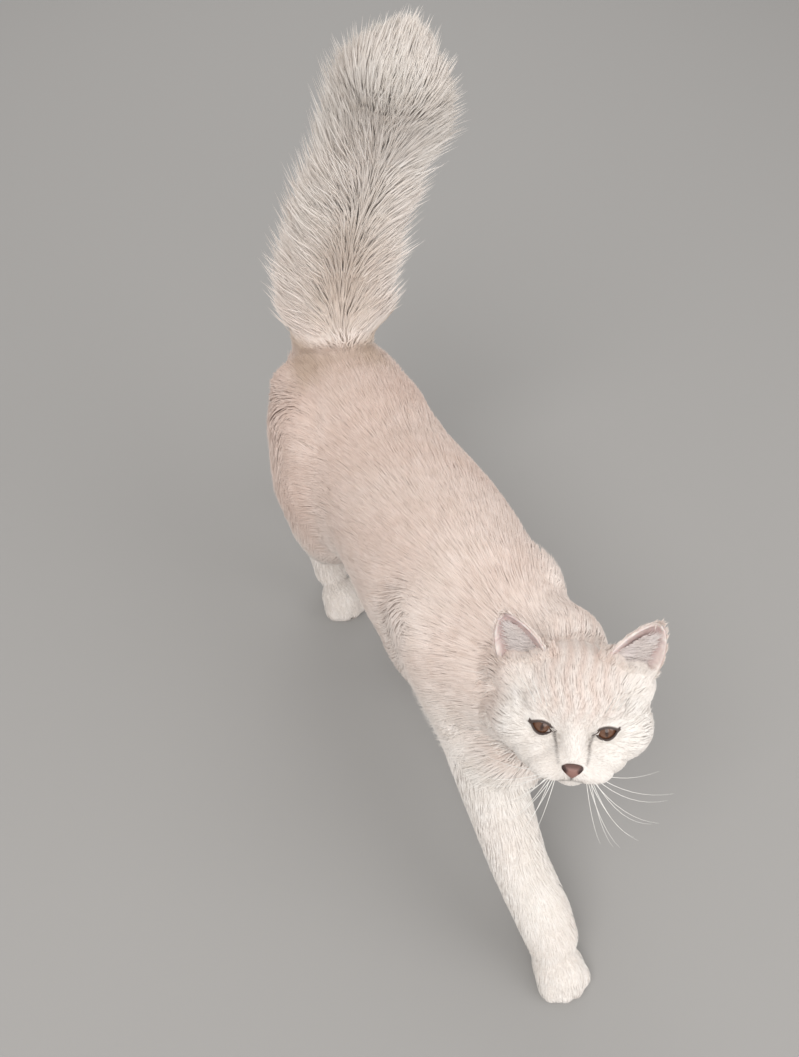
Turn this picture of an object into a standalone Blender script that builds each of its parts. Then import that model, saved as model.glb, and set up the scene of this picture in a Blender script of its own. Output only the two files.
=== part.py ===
"""Life-size model of a long-haired cream cat in mid stride, tail held up like a plume.

Units are metres, +Z is up and the floor is at z = 0. The cat walks towards -Y, its left side is +X.
The body is modelled whole and then parted into head, neck, torso, tail and legs by thin cuts.
Origin: the middle of the whole animal's footprint, at the floor.
"""

import math
import random

import bmesh
import bpy
from mathutils import Matrix, Vector
from mathutils.bvhtree import BVHTree

GAP = 0.0003
SEED = 1

# The core under the locks: how much of the coat's depth it fills, then for the body and for the head the size of
# the remesh's cells, the rounds of smoothing and the triangles that are left.
CORE_SHARE = 0.5
BODY_FUSE = (0.0045, 6, 1800)
HEAD_FUSE = (0.0022, 3, 1350)

# Stations of the trunk: centre y, centre z, half width, half height, coat depth.
TRUNK = (
    (0.178, 0.222, 0.018, 0.018, 0.014),
    (0.152, 0.205, 0.038, 0.036, 0.020),
    (0.112, 0.191, 0.050, 0.048, 0.017),
    (0.055, 0.186, 0.047, 0.049, 0.015),
    (0.000, 0.181, 0.054, 0.056, 0.015),
    (-0.055, 0.178, 0.055, 0.060, 0.015),
    (-0.105, 0.180, 0.047, 0.055, 0.016),
    (-0.142, 0.180, 0.034, 0.040, 0.020),
)

# Stations of the neck: centre x, y, z, half width, half height, coat depth.
NECK = (
    (0.000, -0.105, 0.190, 0.044, 0.042, 0.016),
    (0.004, -0.140, 0.186, 0.040, 0.040, 0.015),
    (0.010, -0.170, 0.184, 0.036, 0.037, 0.014),
    (0.014, -0.198, 0.194, 0.030, 0.030, 0.010),
)

THROAT, THROAT_SIZE = Vector((0.012, -0.203, 0.188)), Vector((0.030, 0.022, 0.027))

# Stations of each leg: centre x, y, z, half width, half depth, coat depth.
LEGS = {
    "leg_fore_right": (
        (-0.036, -0.098, 0.196, 0.020, 0.034, 0.013),
        (-0.041, -0.125, 0.160, 0.021, 0.030, 0.013),
        (-0.043, -0.152, 0.124, 0.018, 0.021, 0.010),
        (-0.040, -0.200, 0.097, 0.0150, 0.0160, 0.006),
        (-0.034, -0.245, 0.072, 0.0130, 0.0130, 0.004),
        (-0.030, -0.278, 0.046, 0.0125, 0.0120, 0.003),
        (-0.028, -0.296, 0.024, 0.0150, 0.0130, 0.003),
    ),
    "leg_fore_left": (
        (0.036, -0.098, 0.196, 0.020, 0.034, 0.013),
        (0.041, -0.098, 0.155, 0.021, 0.030, 0.013),
        (0.043, -0.080, 0.116, 0.018, 0.020, 0.010),
        (0.040, -0.062, 0.082, 0.0145, 0.0150, 0.006),
        (0.038, -0.050, 0.052, 0.0125, 0.0125, 0.004),
        (0.036, -0.052, 0.030, 0.0140, 0.0125, 0.003),
        (0.035, -0.060, 0.018, 0.0150, 0.0120, 0.003),
    ),
    "leg_hind_right": (
        (-0.036, 0.118, 0.198, 0.022, 0.042, 0.020),
        (-0.044, 0.095, 0.158, 0.024, 0.042, 0.020),
        (-0.048, 0.082, 0.126, 0.020, 0.034, 0.016),
        (-0.047, 0.100, 0.096, 0.0155, 0.0220, 0.012),
        (-0.045, 0.126, 0.068, 0.0115, 0.0140, 0.007),
        (-0.043, 0.122, 0.044, 0.0115, 0.0120, 0.004),
        (-0.041, 0.104, 0.022, 0.0140, 0.0120, 0.003),
    ),
    "leg_hind_left": (
        (0.036, 0.118, 0.198, 0.022, 0.042, 0.020),
        (0.044, 0.112, 0.160, 0.024, 0.042, 0.020),
        (0.048, 0.112, 0.126, 0.020, 0.034, 0.016),
        (0.047, 0.142, 0.104, 0.0155, 0.0215, 0.012),
        (0.045, 0.176, 0.086, 0.0115, 0.0140, 0.007),
        (0.043, 0.186, 0.056, 0.0110, 0.0115, 0.004),
        (0.041, 0.182, 0.030, 0.0130, 0.0120, 0.003),
    ),
}

# Where each paw stands: x and y of the ball of the foot.
PAWS = {
    "leg_fore_right": (-0.027, -0.310),
    "leg_fore_left": (0.035, -0.074),
    "leg_hind_right": (-0.040, 0.086),
    "leg_hind_left": (0.040, 0.168),
}
PAW_SIZE = Vector((0.0200, 0.0225, 0.0150))
PAW_SINK = 0.0030
TOE_SIZE = Vector((0.0072, 0.0108, 0.0094))
TOE_SPREAD, TOE_REACH, TOE_FAN = 0.0100, 0.0155, 0.0021

# Tail: centre line x, y, z, flesh radius, coat depth.
TAIL = (
    (0.000, 0.160, 0.218, 0.016, 0.014),
    (0.002, 0.190, 0.240, 0.013, 0.028),
    (0.009, 0.206, 0.282, 0.011, 0.038),
    (0.019, 0.208, 0.335, 0.010, 0.040),
    (0.033, 0.204, 0.388, 0.009, 0.038),
    (0.051, 0.198, 0.436, 0.008, 0.038),
    (0.064, 0.192, 0.468, 0.006, 0.033),
    (0.067, 0.189, 0.480, 0.004, 0.018),
)

# The head's own frame has its origin midway between the eyes, X to its left and the face towards -Y.
EYE_LINE = Vector((0.000, -0.231, 0.225))
FACE_YAW, FACE_PITCH, FACE_ROLL = math.radians(-32.6), math.radians(-30.0), math.radians(-2.0)
HEAD = Matrix.Translation(EYE_LINE) @ (
    Matrix.Rotation(FACE_YAW, 4, "Z")
    @ Matrix.Rotation(FACE_PITCH, 4, "X")
    @ Matrix.Rotation(FACE_ROLL, 4, "Y")
)

# Rounded forms that make up the head: x, y, z of the centre, the three half sizes and the coat's depth.
# A form away from the middle is made on both sides.
HEAD_FORMS = (
    (0.0000, 0.0320, 0.0070, 0.0350, 0.0380, 0.0310, 0.003),
    (0.0265, 0.0260, -0.0110, 0.0205, 0.0230, 0.0195, 0.008),
    (0.0160, 0.0100, -0.0215, 0.0160, 0.0170, 0.0130, 0.003),
    (0.0000, 0.0120, -0.0240, 0.0220, 0.0230, 0.0160, 0.003),
    (0.0000, -0.0040, -0.0210, 0.0190, 0.0150, 0.0115, 0.001),
    (0.0086, -0.0085, -0.0262, 0.0106, 0.0096, 0.0082, 0.001),
    (0.0000, -0.0055, -0.0340, 0.0098, 0.0092, 0.0068, 0.001),
    (0.0175, 0.0065, 0.0115, 0.0135, 0.0090, 0.0082, 0.001),
)
NOSE_BRIDGE = (
    (0.0, 0.0045, 0.0120, 0.0100),
    (0.0, -0.0040, -0.0050, 0.0082),
    (0.0, -0.0138, -0.0178, 0.0064),
)

EYE_HALF_SPACING, EYE_DEPTH, EYE_RADIUS = 0.0200, 0.0070, 0.0100
LID_THICKNESS = 0.0016
EYE_TURN, EYE_TILT = math.radians(12), math.radians(12)
EYE_OPENING, UPPER_ARC, LOWER_ARC = 0.0155, 0.0036, 0.0048

NOSE_PLACE, NOSE_SIZE = Vector((0.0, -0.0178, -0.0192)), Vector((0.0072, 0.0042, 0.0046))
NOSTRIL_PLACE, NOSTRIL_SIZE = Vector((0.0040, -0.0212, -0.0198)), Vector((0.0017, 0.0022, 0.0011))
MOUTH_DEPTH = 0.0010
PHILTRUM = ((0.0, -0.0195, -0.0235), (0.0, -0.0190, -0.0270), (0.0, -0.0170, -0.0300))
LIP_LINE = (
    (0.0, -0.0170, -0.0300),
    (0.0050, -0.0160, -0.0328),
    (0.0100, -0.0120, -0.0332),
    (0.0150, -0.0060, -0.0320),
)

# Ear: inner end of the base, outer end of the base and tip in the head's frame, for the left ear.
EAR_INNER, EAR_OUTER = Vector((0.0190, 0.0270, 0.0370)), Vector((0.0490, 0.0330, 0.0270))
EAR_TIP = Vector((0.0500, 0.0300, 0.0610))
EAR_THICKNESS, EAR_CUP, EAR_SUNK = 0.0020, 0.0085, 0.30

# Runs of the coat. Each follows a path of stations: where along it the rows start and end, how far apart
# the rows and the locks in a row stand, and the angles that a row spans round the limb, in degrees, where 0 is
# the animal's left and 90 the back. Then a lock's length, width and thickness, how far its tip stands off the
# core, and the way it lies.
COAT_RUNS = {
    "trunk": ((0.10, 0.97), 0.046, 0.039, (-60, 240), (0.076, 0.031, 0.0042), 0.008, (0.0, 1.0, -0.28)),
    "belly": ((0.30, 0.85), 0.055, 0.040, (250, 290), (0.066, 0.032, 0.0045), 0.014, (0.0, 1.0, -0.45)),
    "nape": ((0.25, 0.75), 0.036, 0.041, (-20, 200), (0.060, 0.031, 0.0040), 0.008, (0.0, 1.0, -0.30)),
    "ruff": ((0.25, 0.92), 0.036, 0.036, (205, 335), (0.062, 0.028, 0.0042), 0.014, (0.0, 0.40, -1.0)),
    "thigh_right": ((0.22, 0.46), 0.042, 0.040, (110, 290), (0.064, 0.030, 0.0042), 0.012, (-0.1, 0.4, -1.0)),
    "thigh_left": ((0.22, 0.46), 0.042, 0.040, (-110, 70), (0.064, 0.030, 0.0042), 0.012, (0.1, 0.4, -1.0)),
    "arm_right": ((0.20, 0.24), 0.040, 0.034, (110, 270), (0.050, 0.026, 0.0038), 0.007, (0.0, -0.15, -1.0)),
    "arm_left": ((0.22, 0.26), 0.040, 0.034, (-90, 70), (0.050, 0.026, 0.0038), 0.007, (0.0, 0.30, -1.0)),
}
RUN_PATHS = {
    "trunk": "trunk",
    "belly": "trunk",
    "nape": "neck",
    "ruff": "neck",
    "thigh_right": "leg_hind_right",
    "thigh_left": "leg_hind_left",
    "arm_right": "leg_fore_right",
    "arm_left": "leg_fore_left",
}

# The plume: where its rows start and end along the tail, how far apart they stand and how many locks go round.
# Then a lock's length, width and thickness, how far it leans out from the tail, and how far it turns away from
# the parting that runs up the side facing the head.
PLUME_ROWS, PLUME_ROW_GAP, PLUME_AROUND = (0.12, 0.84), 0.037, 6
PLUME_LOCK, PLUME_LEAN, PLUME_TURN = (0.074, 0.031, 0.0046), 0.40, 0.16

# Cheek locks in the head's frame: the two ends of each row and the number of locks in it.
CHEEK_ROWS = (
    ((0.044, 0.018, 0.004), (0.022, 0.008, -0.026), 3),
    ((0.048, 0.034, 0.004), (0.026, 0.026, -0.032), 3),
)
CHEEK_LOCK, CHEEK_TIP, CHEEK_LIE = (0.026, 0.016, 0.0030), 0.005, Vector((0.45, 0.25, -0.85))

# A lock from root to tip: share of its length, of its tip's height and of its width.
LOCK_SHAPE = ((0.0, 0.0, 0.62), (0.34, 0.40, 1.0), (0.70, 0.80, 0.60), (1.0, 1.0, 0.0))
ROOT_SINK = 0.0045
SHARPEST_BEND = 0.75
EAR_CLEARANCE = 0.026

FINISHES = {
    "coat_cream": ((0.83, 0.70, 0.60, 1.0), 0.85),
    "coat_pale": ((0.90, 0.84, 0.79, 1.0), 0.85),
    "ear_velvet": ((0.86, 0.72, 0.66, 1.0), 0.75),
    "eye_amber": ((0.45, 0.24, 0.08, 1.0), 0.10),
    "nose_leather": ((0.62, 0.38, 0.34, 1.0), 0.45),
}
FINISH_OF = {
    "head": "coat_cream",
    "neck": "coat_cream",
    "torso": "coat_cream",
    "tail_base": "coat_cream",
    "tail_middle": "coat_pale",
    "tail_tip": "coat_pale",
    "leg_fore_right": "coat_pale",
    "leg_fore_left": "coat_pale",
    "leg_hind_right": "coat_pale",
    "leg_hind_left": "coat_pale",
    "ear_right": "ear_velvet",
    "ear_left": "ear_velvet",
    "eye_right": "eye_amber",
    "eye_left": "eye_amber",
    "nose": "nose_leather",
}

# Where the tail is parted: which stretch of TAIL and how far along it, then the radius of the cut there.
TAIL_CUTS = {"tail_base": (0, 0.45, 0.036), "tail_middle": (3, 0.10, 0.040), "tail_tip": (4, 0.80, 0.038)}
TAIL_FLARE = ((0.030, 0.026), (0.055, 0.034))
LEG_MARGIN = (0.003, 0.007, 0.009)
HEAD_ZONE = (Vector((0.013, -0.213, 0.214)), 0.082)
HEAD_CUT = ((0.013, -0.183, 0.198, 0.047), (0.020, -0.160, 0.197, 0.085), (0.010, -0.110, 0.190, 0.170))
NECK_ZONE = (Vector((0.004, -0.150, 0.190)), 0.092)
NECK_CUT = ((0.002, -0.142, 0.196, 0.051), (0.002, -0.115, 0.192, 0.098), (0.000, -0.040, 0.180, 0.200))
FAR_END = (0.0, 0.260, 0.180, 0.300)


def clear_scene():
    for old in list(bpy.data.objects):
        bpy.data.objects.remove(old)


def finish(name):
    colour, roughness = FINISHES[name]
    made = bpy.data.materials.get(name) or bpy.data.materials.new(name)
    made.use_nodes = True
    shader = made.node_tree.nodes["Principled BSDF"]
    shader.inputs["Base Color"].default_value = colour
    shader.inputs["Roughness"].default_value = roughness
    made.diffuse_color = colour
    return made


def new_object(name, bm, smooth=False):
    bmesh.ops.recalc_face_normals(bm, faces=bm.faces)
    for face in bm.faces:
        face.smooth = smooth
    mesh = bpy.data.meshes.new(name)
    bm.to_mesh(mesh)
    bm.free()
    made = bpy.data.objects.new(name, mesh)
    bpy.context.scene.collection.objects.link(made)
    return made


def copy_of(made, name):
    twin = bpy.data.objects.new(name, made.data.copy())
    bpy.context.scene.collection.objects.link(twin)
    return twin


def applied(made):
    """Puts what the modifiers give into the object's own mesh."""
    graph = bpy.context.evaluated_depsgraph_get()
    mesh = bpy.data.meshes.new_from_object(made.evaluated_get(graph))
    made.modifiers.clear()
    old = made.data
    made.data = mesh
    bpy.data.meshes.remove(old)
    return made


def ring_frame(centre, along, side):
    """A frame whose Z runs along the limb and whose X points to the animal's side."""
    z = along.normalized()
    x = (side - z * side.dot(z)).normalized()
    return Matrix.Translation(centre) @ Matrix((x, z.cross(x), z)).transposed().to_4x4()


def loft(bm, rings, sides, side=Vector((1, 0, 0))):
    """A closed tube through rings of (centre, half width, half height)."""
    loops = []
    for i, (centre, wide, high) in enumerate(rings):
        along = rings[min(i + 1, len(rings) - 1)][0] - rings[max(i - 1, 0)][0]
        place = ring_frame(centre, along, side) @ Matrix.Diagonal((wide, high, 1, 1))
        loops.append(bmesh.ops.create_circle(bm, segments=sides, radius=1, matrix=place)["verts"])
    for near, far in zip(loops, loops[1:]):
        near, far = set(near), set(far)
        edges = {e for v in near | far for e in v.link_edges if len(e.link_faces) < 2}
        edges = [e for e in edges if set(e.verts) <= near or set(e.verts) <= far]
        bmesh.ops.bridge_loops(bm, edges=edges)
    bm.faces.new(loops[0])
    bm.faces.new(loops[-1])


def ball(bm, place, size, segments=16, rings=10):
    """An ellipsoid at a place given as a matrix."""
    bmesh.ops.create_uvsphere(
        bm, u_segments=segments, v_segments=rings, radius=1, matrix=place @ Matrix.Diagonal((*size, 1))
    )


def at(point):
    return Matrix.Translation(point)


def evenly(size):
    return Vector((size, size, size))


def fuse(made, voxel, smoothing, triangles):
    """Overlapping closed shapes made one smooth skin of about that many triangles."""
    remesh = made.modifiers.new("fuse", "REMESH")
    remesh.mode = "VOXEL"
    remesh.voxel_size = voxel
    relax = made.modifiers.new("relax", "SMOOTH")
    relax.factor = 0.5
    relax.iterations = smoothing
    applied(made)
    faces = sum(len(p.vertices) - 2 for p in made.data.polygons)
    thin = made.modifiers.new("thin", "DECIMATE")
    thin.ratio = min(1.0, triangles / faces)
    return applied(made)


def boolean(made, operation, other):
    """Cuts, joins or keeps what two closed meshes share, and uses the other object up."""
    step = made.modifiers.new(operation.lower(), "BOOLEAN")
    step.operation = operation
    step.solver = "MANIFOLD"
    step.object = other
    applied(made)
    bpy.data.objects.remove(other)
    return made


def largest_body(made):
    """Keeps only the largest closed surface of the mesh."""
    bm = bmesh.new()
    bm.from_mesh(made.data)
    left, bodies = set(bm.verts), []
    while left:
        body, edge = set(), [left.pop()]
        while edge:
            vert = edge.pop()
            body.add(vert)
            near = {link.other_vert(vert) for link in vert.link_edges} & left
            left -= near
            edge.extend(near)
        bodies.append(body)
    bodies.sort(key=len)
    bmesh.ops.delete(bm, geom=[v for body in bodies[:-1] for v in body], context="VERTS")
    bm.to_mesh(made.data)
    bm.free()
    return made


def along(path, stretch, share):
    """The point part of the way along one stretch of a path of stations, and the path's direction there."""
    near, far = Vector(path[stretch][:3]), Vector(path[stretch + 1][:3])
    return near.lerp(far, share), (far - near).normalized()


def paw(bm, spot):
    """The ball of the foot and its four toes, sunk a little so that the floor cuts a flat sole."""
    x, y = spot
    ball(bm, at(Vector((x, y, PAW_SIZE.z - PAW_SINK))), PAW_SIZE)
    for i in range(4):
        off = i - 1.5
        toe = Vector((x + off * TOE_SPREAD, y - TOE_REACH + TOE_FAN * off * off, TOE_SIZE.z - PAW_SINK))
        ball(bm, at(toe), TOE_SIZE)


def body_core():
    """Trunk, neck, legs and tail fused into one form."""
    bm = bmesh.new()
    loft(bm, [(Vector((0, y, z)), w + c * CORE_SHARE, h + c * CORE_SHARE) for y, z, w, h, c in TRUNK], 20)
    y, z, wide, high, coat = TRUNK[-1]
    breast = Vector((wide + coat * CORE_SHARE, 0.012 + coat * CORE_SHARE, high + coat * CORE_SHARE))
    ball(bm, at(Vector((0, y, z))), breast)
    loft(bm, [(Vector((x, y, z)), w + c * CORE_SHARE, h + c * CORE_SHARE) for x, y, z, w, h, c in NECK], 16)
    loft(bm, [(Vector((x, y, z)), r + c * CORE_SHARE, r + c * CORE_SHARE) for x, y, z, r, c in TAIL], 14)
    ball(bm, at(THROAT), THROAT_SIZE + evenly(NECK[-1][-1] * CORE_SHARE))
    for name, stations in LEGS.items():
        rings = [(Vector((x, y, z)), w + c * CORE_SHARE, d + c * CORE_SHARE) for x, y, z, w, d, c in stations]
        loft(bm, rings, 14)
        centre, wide, deep = rings[0]
        ball(bm, at(centre), (wide, deep, 0.75 * deep))
        paw(bm, PAWS[name])
    return fuse(new_object("body_core", bm), *BODY_FUSE)


def share_along(path, share):
    """The point at a share of a path's whole length, and the path's direction there."""
    spans = [(b - a).length for a, b in zip(path, path[1:])]
    left = share * sum(spans)
    for near, far, span in zip(path, path[1:], spans):
        if left <= span or far is path[-1]:
            return near.lerp(far, left / span), (far - near).normalized()
        left -= span


def round_limb(frame, angle):
    return frame @ Vector((math.cos(angle), math.sin(angle), 0))


def path_length(path):
    return sum((b - a).length for a, b in zip(path, path[1:]))


def lying_spine(surface, root, lie, length, tip):
    """Centre, normal and width share along a lock that keeps to the surface and rises to its tip's height."""
    point, normal = surface.find_nearest(root)[:2]
    spine, walked = [], 0.0
    for share, rise, wide in LOCK_SHAPE:
        heading = (lie - normal * lie.dot(normal)).normalized()
        point, normal = surface.find_nearest(point + heading * (share - walked) * length)[:2]
        walked = share
        spine.append((point + normal * ((tip + ROOT_SINK) * rise - ROOT_SINK), normal, wide))
    return spine


def leaning_spine(root, out, lie, length):
    """Centre, normal and width share along a lock that leaves its limb and bends back towards the lie."""
    spine = []
    for share, _, wide in LOCK_SHAPE:
        lean = out * PLUME_LEAN * (share - 0.35 * share * share)
        spine.append((root - out * ROOT_SINK + (lie * share + lean) * length, out, wide))
    return spine


def lock(bm, spine, width, thickness):
    """A flat closed blade along its spine, ridged along its middle and drawn out to a point."""
    rings = []
    for i, (centre, normal, wide) in enumerate(spine[:-1]):
        ahead = spine[i + 1][0] - centre
        across = ahead.cross(normal).normalized() * width / 2 * wide
        up = across.cross(ahead).normalized() * thickness
        rings.append([bm.verts.new(centre + offset) for offset in (-across, across, up)])
    end = bm.verts.new(spine[-1][0])
    bm.faces.new(rings[0])
    for near, far in zip(rings, rings[1:]):
        for i in range(3):
            j = (i + 1) % 3
            bm.faces.new((near[i], near[j], far[j]))
            bm.faces.new((near[i], far[j], far[i]))
    for i in range(3):
        bm.faces.new((rings[-1][i], rings[-1][(i + 1) % 3], end))


def bends_gently(spine):
    """Whether no joint of the spine turns sharply, so that the blade can't fold into itself."""
    spans = [(far[0] - near[0]).normalized() for near, far in zip(spine, spine[1:])]
    return all(near.dot(far) > SHARPEST_BEND for near, far in zip(spans, spans[1:]))


def varied(sizes, chance):
    length, width, thickness = sizes
    return length * chance.uniform(0.88, 1.12), width * chance.uniform(0.94, 1.06), thickness


def rows_of_locks(surface, path, run, chance):
    """The locks of one run of the coat, row by row, each row set between the locks of the last."""
    (start, end), row_gap, across_gap, (first, last), sizes, tip, lie = run
    first, span = math.radians(first), math.radians(last - first)
    rows = max(1, round((end - start) * path_length(path) / row_gap)) + 1
    for row in range(rows):
        centre, direction = share_along(path, start + (end - start) * row / (rows - 1))
        frame = ring_frame(centre, direction, Vector((1, 0, 0))).to_3x3()
        radius = surface.ray_cast(centre, round_limb(frame, first + span / 2))[3]
        count = max(1, round(span * radius / across_gap))
        for i in range(count):
            share = (i + 0.25 + 0.5 * (row % 2) + chance.uniform(-0.10, 0.10)) / count
            root = surface.ray_cast(centre, round_limb(frame, first + span * share))[0]
            length, width, thickness = varied(sizes, chance)
            turned = Matrix.Rotation(chance.uniform(-0.14, 0.14), 3, "Z") @ Vector(lie)
            yield lying_spine(surface, root, turned, length, tip), width, thickness


def plume_locks(surface, chance):
    """Locks that lean out all round the tail and part along the side that faces the head."""
    path = [Vector(s[:3]) for s in TAIL]
    start, end = PLUME_ROWS
    rows = round((end - start) * path_length(path) / PLUME_ROW_GAP) + 1
    for row in range(rows):
        centre, direction = share_along(path, start + (end - start) * row / (rows - 1))
        frame = ring_frame(centre, direction, Vector((1, 0, 0))).to_3x3()
        for i in range(PLUME_AROUND):
            angle = 2 * math.pi * (i + 0.5 * (row % 2) + chance.uniform(-0.10, 0.10)) / PLUME_AROUND
            out = round_limb(frame, angle)
            root = surface.ray_cast(centre, out)[0]
            away = frame @ Vector((math.cos(angle), 0, 0)) * PLUME_TURN
            length, width, thickness = varied(PLUME_LOCK, chance)
            yield leaning_spine(root, out, (direction + away).normalized(), length), width, thickness


def cheek_locks(surface, chance):
    for side in (1, -1):
        lie = HEAD.to_3x3() @ Vector((CHEEK_LIE.x * side, *CHEEK_LIE.yz))
        for top, bottom, count in CHEEK_ROWS:
            for i in range(count):
                root = Vector(top).lerp(Vector(bottom), (i + chance.uniform(-0.1, 0.1)) / (count - 1))
                root.x *= side
                length, width, thickness = varied(CHEEK_LOCK, chance)
                yield lying_spine(surface, HEAD @ root, lie, length, CHEEK_TIP), width, thickness


def mirrored(points, side):
    return [(x * side, y, z) for x, y, z in points]


def coat_locks(surface):
    """Every lock of the coat as a closed object of its own, in one collection."""
    chance = random.Random(SEED)
    paths = {name: [Vector(s[:3]) for s in stations] for name, stations in LEGS.items()}
    paths["trunk"] = [Vector((0, *s[:2])) for s in TRUNK]
    paths["neck"] = [Vector(s[:3]) for s in NECK]
    made = []
    for name, run in COAT_RUNS.items():
        made.extend(rows_of_locks(surface, paths[RUN_PATHS[name]], run, chance))
    made.extend(plume_locks(surface, chance))
    made.extend(cheek_locks(surface, chance))
    seat = Vector(((EAR_INNER.x + EAR_OUTER.x) / 2, EAR_TIP.y, EAR_INNER.z))
    ear_seats = [HEAD @ Vector(place) for place in mirrored([seat], 1) + mirrored([seat], -1)]
    locks = bpy.data.collections.new("locks")
    for spine, width, thickness in made:
        near_ear = min((spot[0] - seat).length for seat in ear_seats for spot in spine) < EAR_CLEARANCE
        if near_ear or not bends_gently(spine):
            continue
        bm = bmesh.new()
        lock(bm, spine, width, thickness)
        blade = new_object("lock", bm)
        bpy.context.scene.collection.objects.unlink(blade)
        locks.objects.link(blade)
    bpy.context.scene.collection.children.link(locks)
    return locks


def join_locks(core, locks):
    step = core.modifiers.new("locks", "BOOLEAN")
    step.operation = "UNION"
    step.solver = "MANIFOLD"
    step.operand_type = "COLLECTION"
    step.collection = locks
    applied(core)
    for made in list(locks.objects):
        bpy.data.objects.remove(made)
    bpy.data.collections.remove(locks)
    return core


def head_core():
    """Skull, cheeks, muzzle, chin, brows and the bridge of the nose fused into one form."""
    bm = bmesh.new()
    for x, y, z, wide, deep, high, coat in HEAD_FORMS:
        size = Vector((wide, deep, high)) + evenly(coat * CORE_SHARE)
        for side in (1, -1) if x else (1,):
            ball(bm, HEAD @ at(Vector((x * side, y, z))), size)
    loft(bm, [(HEAD @ Vector((x, y, z)), r, r) for x, y, z, r in NOSE_BRIDGE], 12)
    return fuse(new_object("head_core", bm), *HEAD_FUSE)


def eye_frame(side):
    """The eyeball's place: -Y looks out of the eye and X runs along the lids."""
    centre = Vector((side * EYE_HALF_SPACING, EYE_DEPTH, 0))
    turn = Matrix.Rotation(side * EYE_TURN, 4, "Z") @ Matrix.Rotation(-side * EYE_TILT, 4, "Y")
    return HEAD @ at(centre) @ turn


def eyeball(name, side, grow=0.0):
    bm = bmesh.new()
    poles = eye_frame(side) @ Matrix.Rotation(math.pi / 2, 4, "X")
    ball(bm, poles, evenly(EYE_RADIUS + grow), 14, 9)
    return new_object(name, bm, smooth=True)


def eye_opening(side):
    """The almond between the lids, as a prism running out of the face."""
    bm = bmesh.new()
    half, steps = EYE_OPENING / 2, 7
    outline = []
    for rise, order in ((UPPER_ARC, range(-steps, steps)), (-LOWER_ARC, range(steps, -steps, -1))):
        for i in order:
            across = half * i / steps
            outline.append(bm.verts.new((across, -2 * EYE_RADIUS, rise * (1 - (across / half) ** 2))))
    face = bm.faces.new(outline)
    made = bmesh.ops.extrude_face_region(bm, geom=[face])["geom"]
    moved = [v for v in made if isinstance(v, bmesh.types.BMVert)]
    bmesh.ops.translate(bm, verts=moved, vec=(0, 2 * EYE_RADIUS, 0))
    bmesh.ops.transform(bm, matrix=eye_frame(side), verts=bm.verts)
    return new_object("eye_opening", bm)


def nose_pad(name, grow=0.0):
    """The nose leather: wide above, drawn in to the lip below."""
    bm = bmesh.new()
    ball(bm, at(Vector((0, 0, 0))), NOSE_SIZE + evenly(grow), 12, 8)
    for vert in bm.verts:
        vert.co.x *= 0.78 + 0.26 * vert.co.z / NOSE_SIZE.z
    bmesh.ops.transform(bm, matrix=HEAD @ at(NOSE_PLACE), verts=bm.verts)
    return new_object(name, bm, smooth=True)


def groove(name, points, surface, radius):
    """A thin tube lying along a surface, which cuts a groove of its own radius there."""
    bm = bmesh.new()
    rings = [(surface.find_nearest(HEAD @ Vector(p))[0], radius, radius) for p in points]
    loft(bm, rings, 6, side=HEAD.to_3x3() @ Vector((0, -1, 0.3)))
    return new_object(name, bm)


def ear(name, side):
    """A cupped shell on the head, open to the front, with a rounded tip."""
    bm = bmesh.new()
    columns, rows = 8, 7
    made = bmesh.ops.create_grid(bm, x_segments=columns, y_segments=rows, size=1)
    middle = (EAR_INNER + EAR_OUTER) / 2
    half = (EAR_OUTER - EAR_INNER) / 2
    rise = EAR_TIP - middle
    back = half.cross(rise).normalized() * -1
    for vert in made["verts"]:
        across, up = vert.co.x, (vert.co.y + 1) / 2 * (1 + EAR_SUNK) - EAR_SUNK
        narrow = 0.10 + 0.93 * max(0.0, 1 - max(up, 0.0) ** 1.5) ** 0.85
        cup = EAR_CUP * (1 - across * across) * (1 - 0.75 * max(up, 0.0))
        roll = 0.0035 * across * across * (1 - max(up, 0.0))
        point = middle + rise * up + half * across * narrow + back * (cup - roll)
        vert.co = Vector((point.x * side, point.y, point.z))
    bmesh.ops.recalc_face_normals(bm, faces=bm.faces)
    bmesh.ops.solidify(bm, geom=bm.faces[:], thickness=EAR_THICKNESS)
    bmesh.ops.transform(bm, matrix=HEAD, verts=bm.verts)
    bmesh.ops.triangulate(bm, faces=bm.faces)
    return new_object(name, bm)


def tube_region(path):
    """A flaring tube through (x, y, z, half width, half depth): what lies inside it belongs to one node."""
    bm = bmesh.new()
    loft(bm, [(Vector(s[:3]), s[3], s[-1]) for s in path], 16)
    bmesh.ops.triangulate(bm, faces=bm.faces)
    return new_object("region", bm)


def leg_path(name):
    """The leg's region: from below the shoulder or hip to under the floor, a little wider than the limb."""
    stations = LEGS[name]
    rings = []
    for i, (x, y, z, wide, deep, coat) in enumerate(stations[1:]):
        margin = coat + LEG_MARGIN[min(i, len(LEG_MARGIN) - 1)]
        rings.append((x, y, z, wide + margin, deep + margin))
    x, y = PAWS[name]
    foot = PAW_SIZE.x + 3 * LEG_MARGIN[-1]
    rings.append((x, y - 0.010, -0.010, foot, foot))
    return rings


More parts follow.
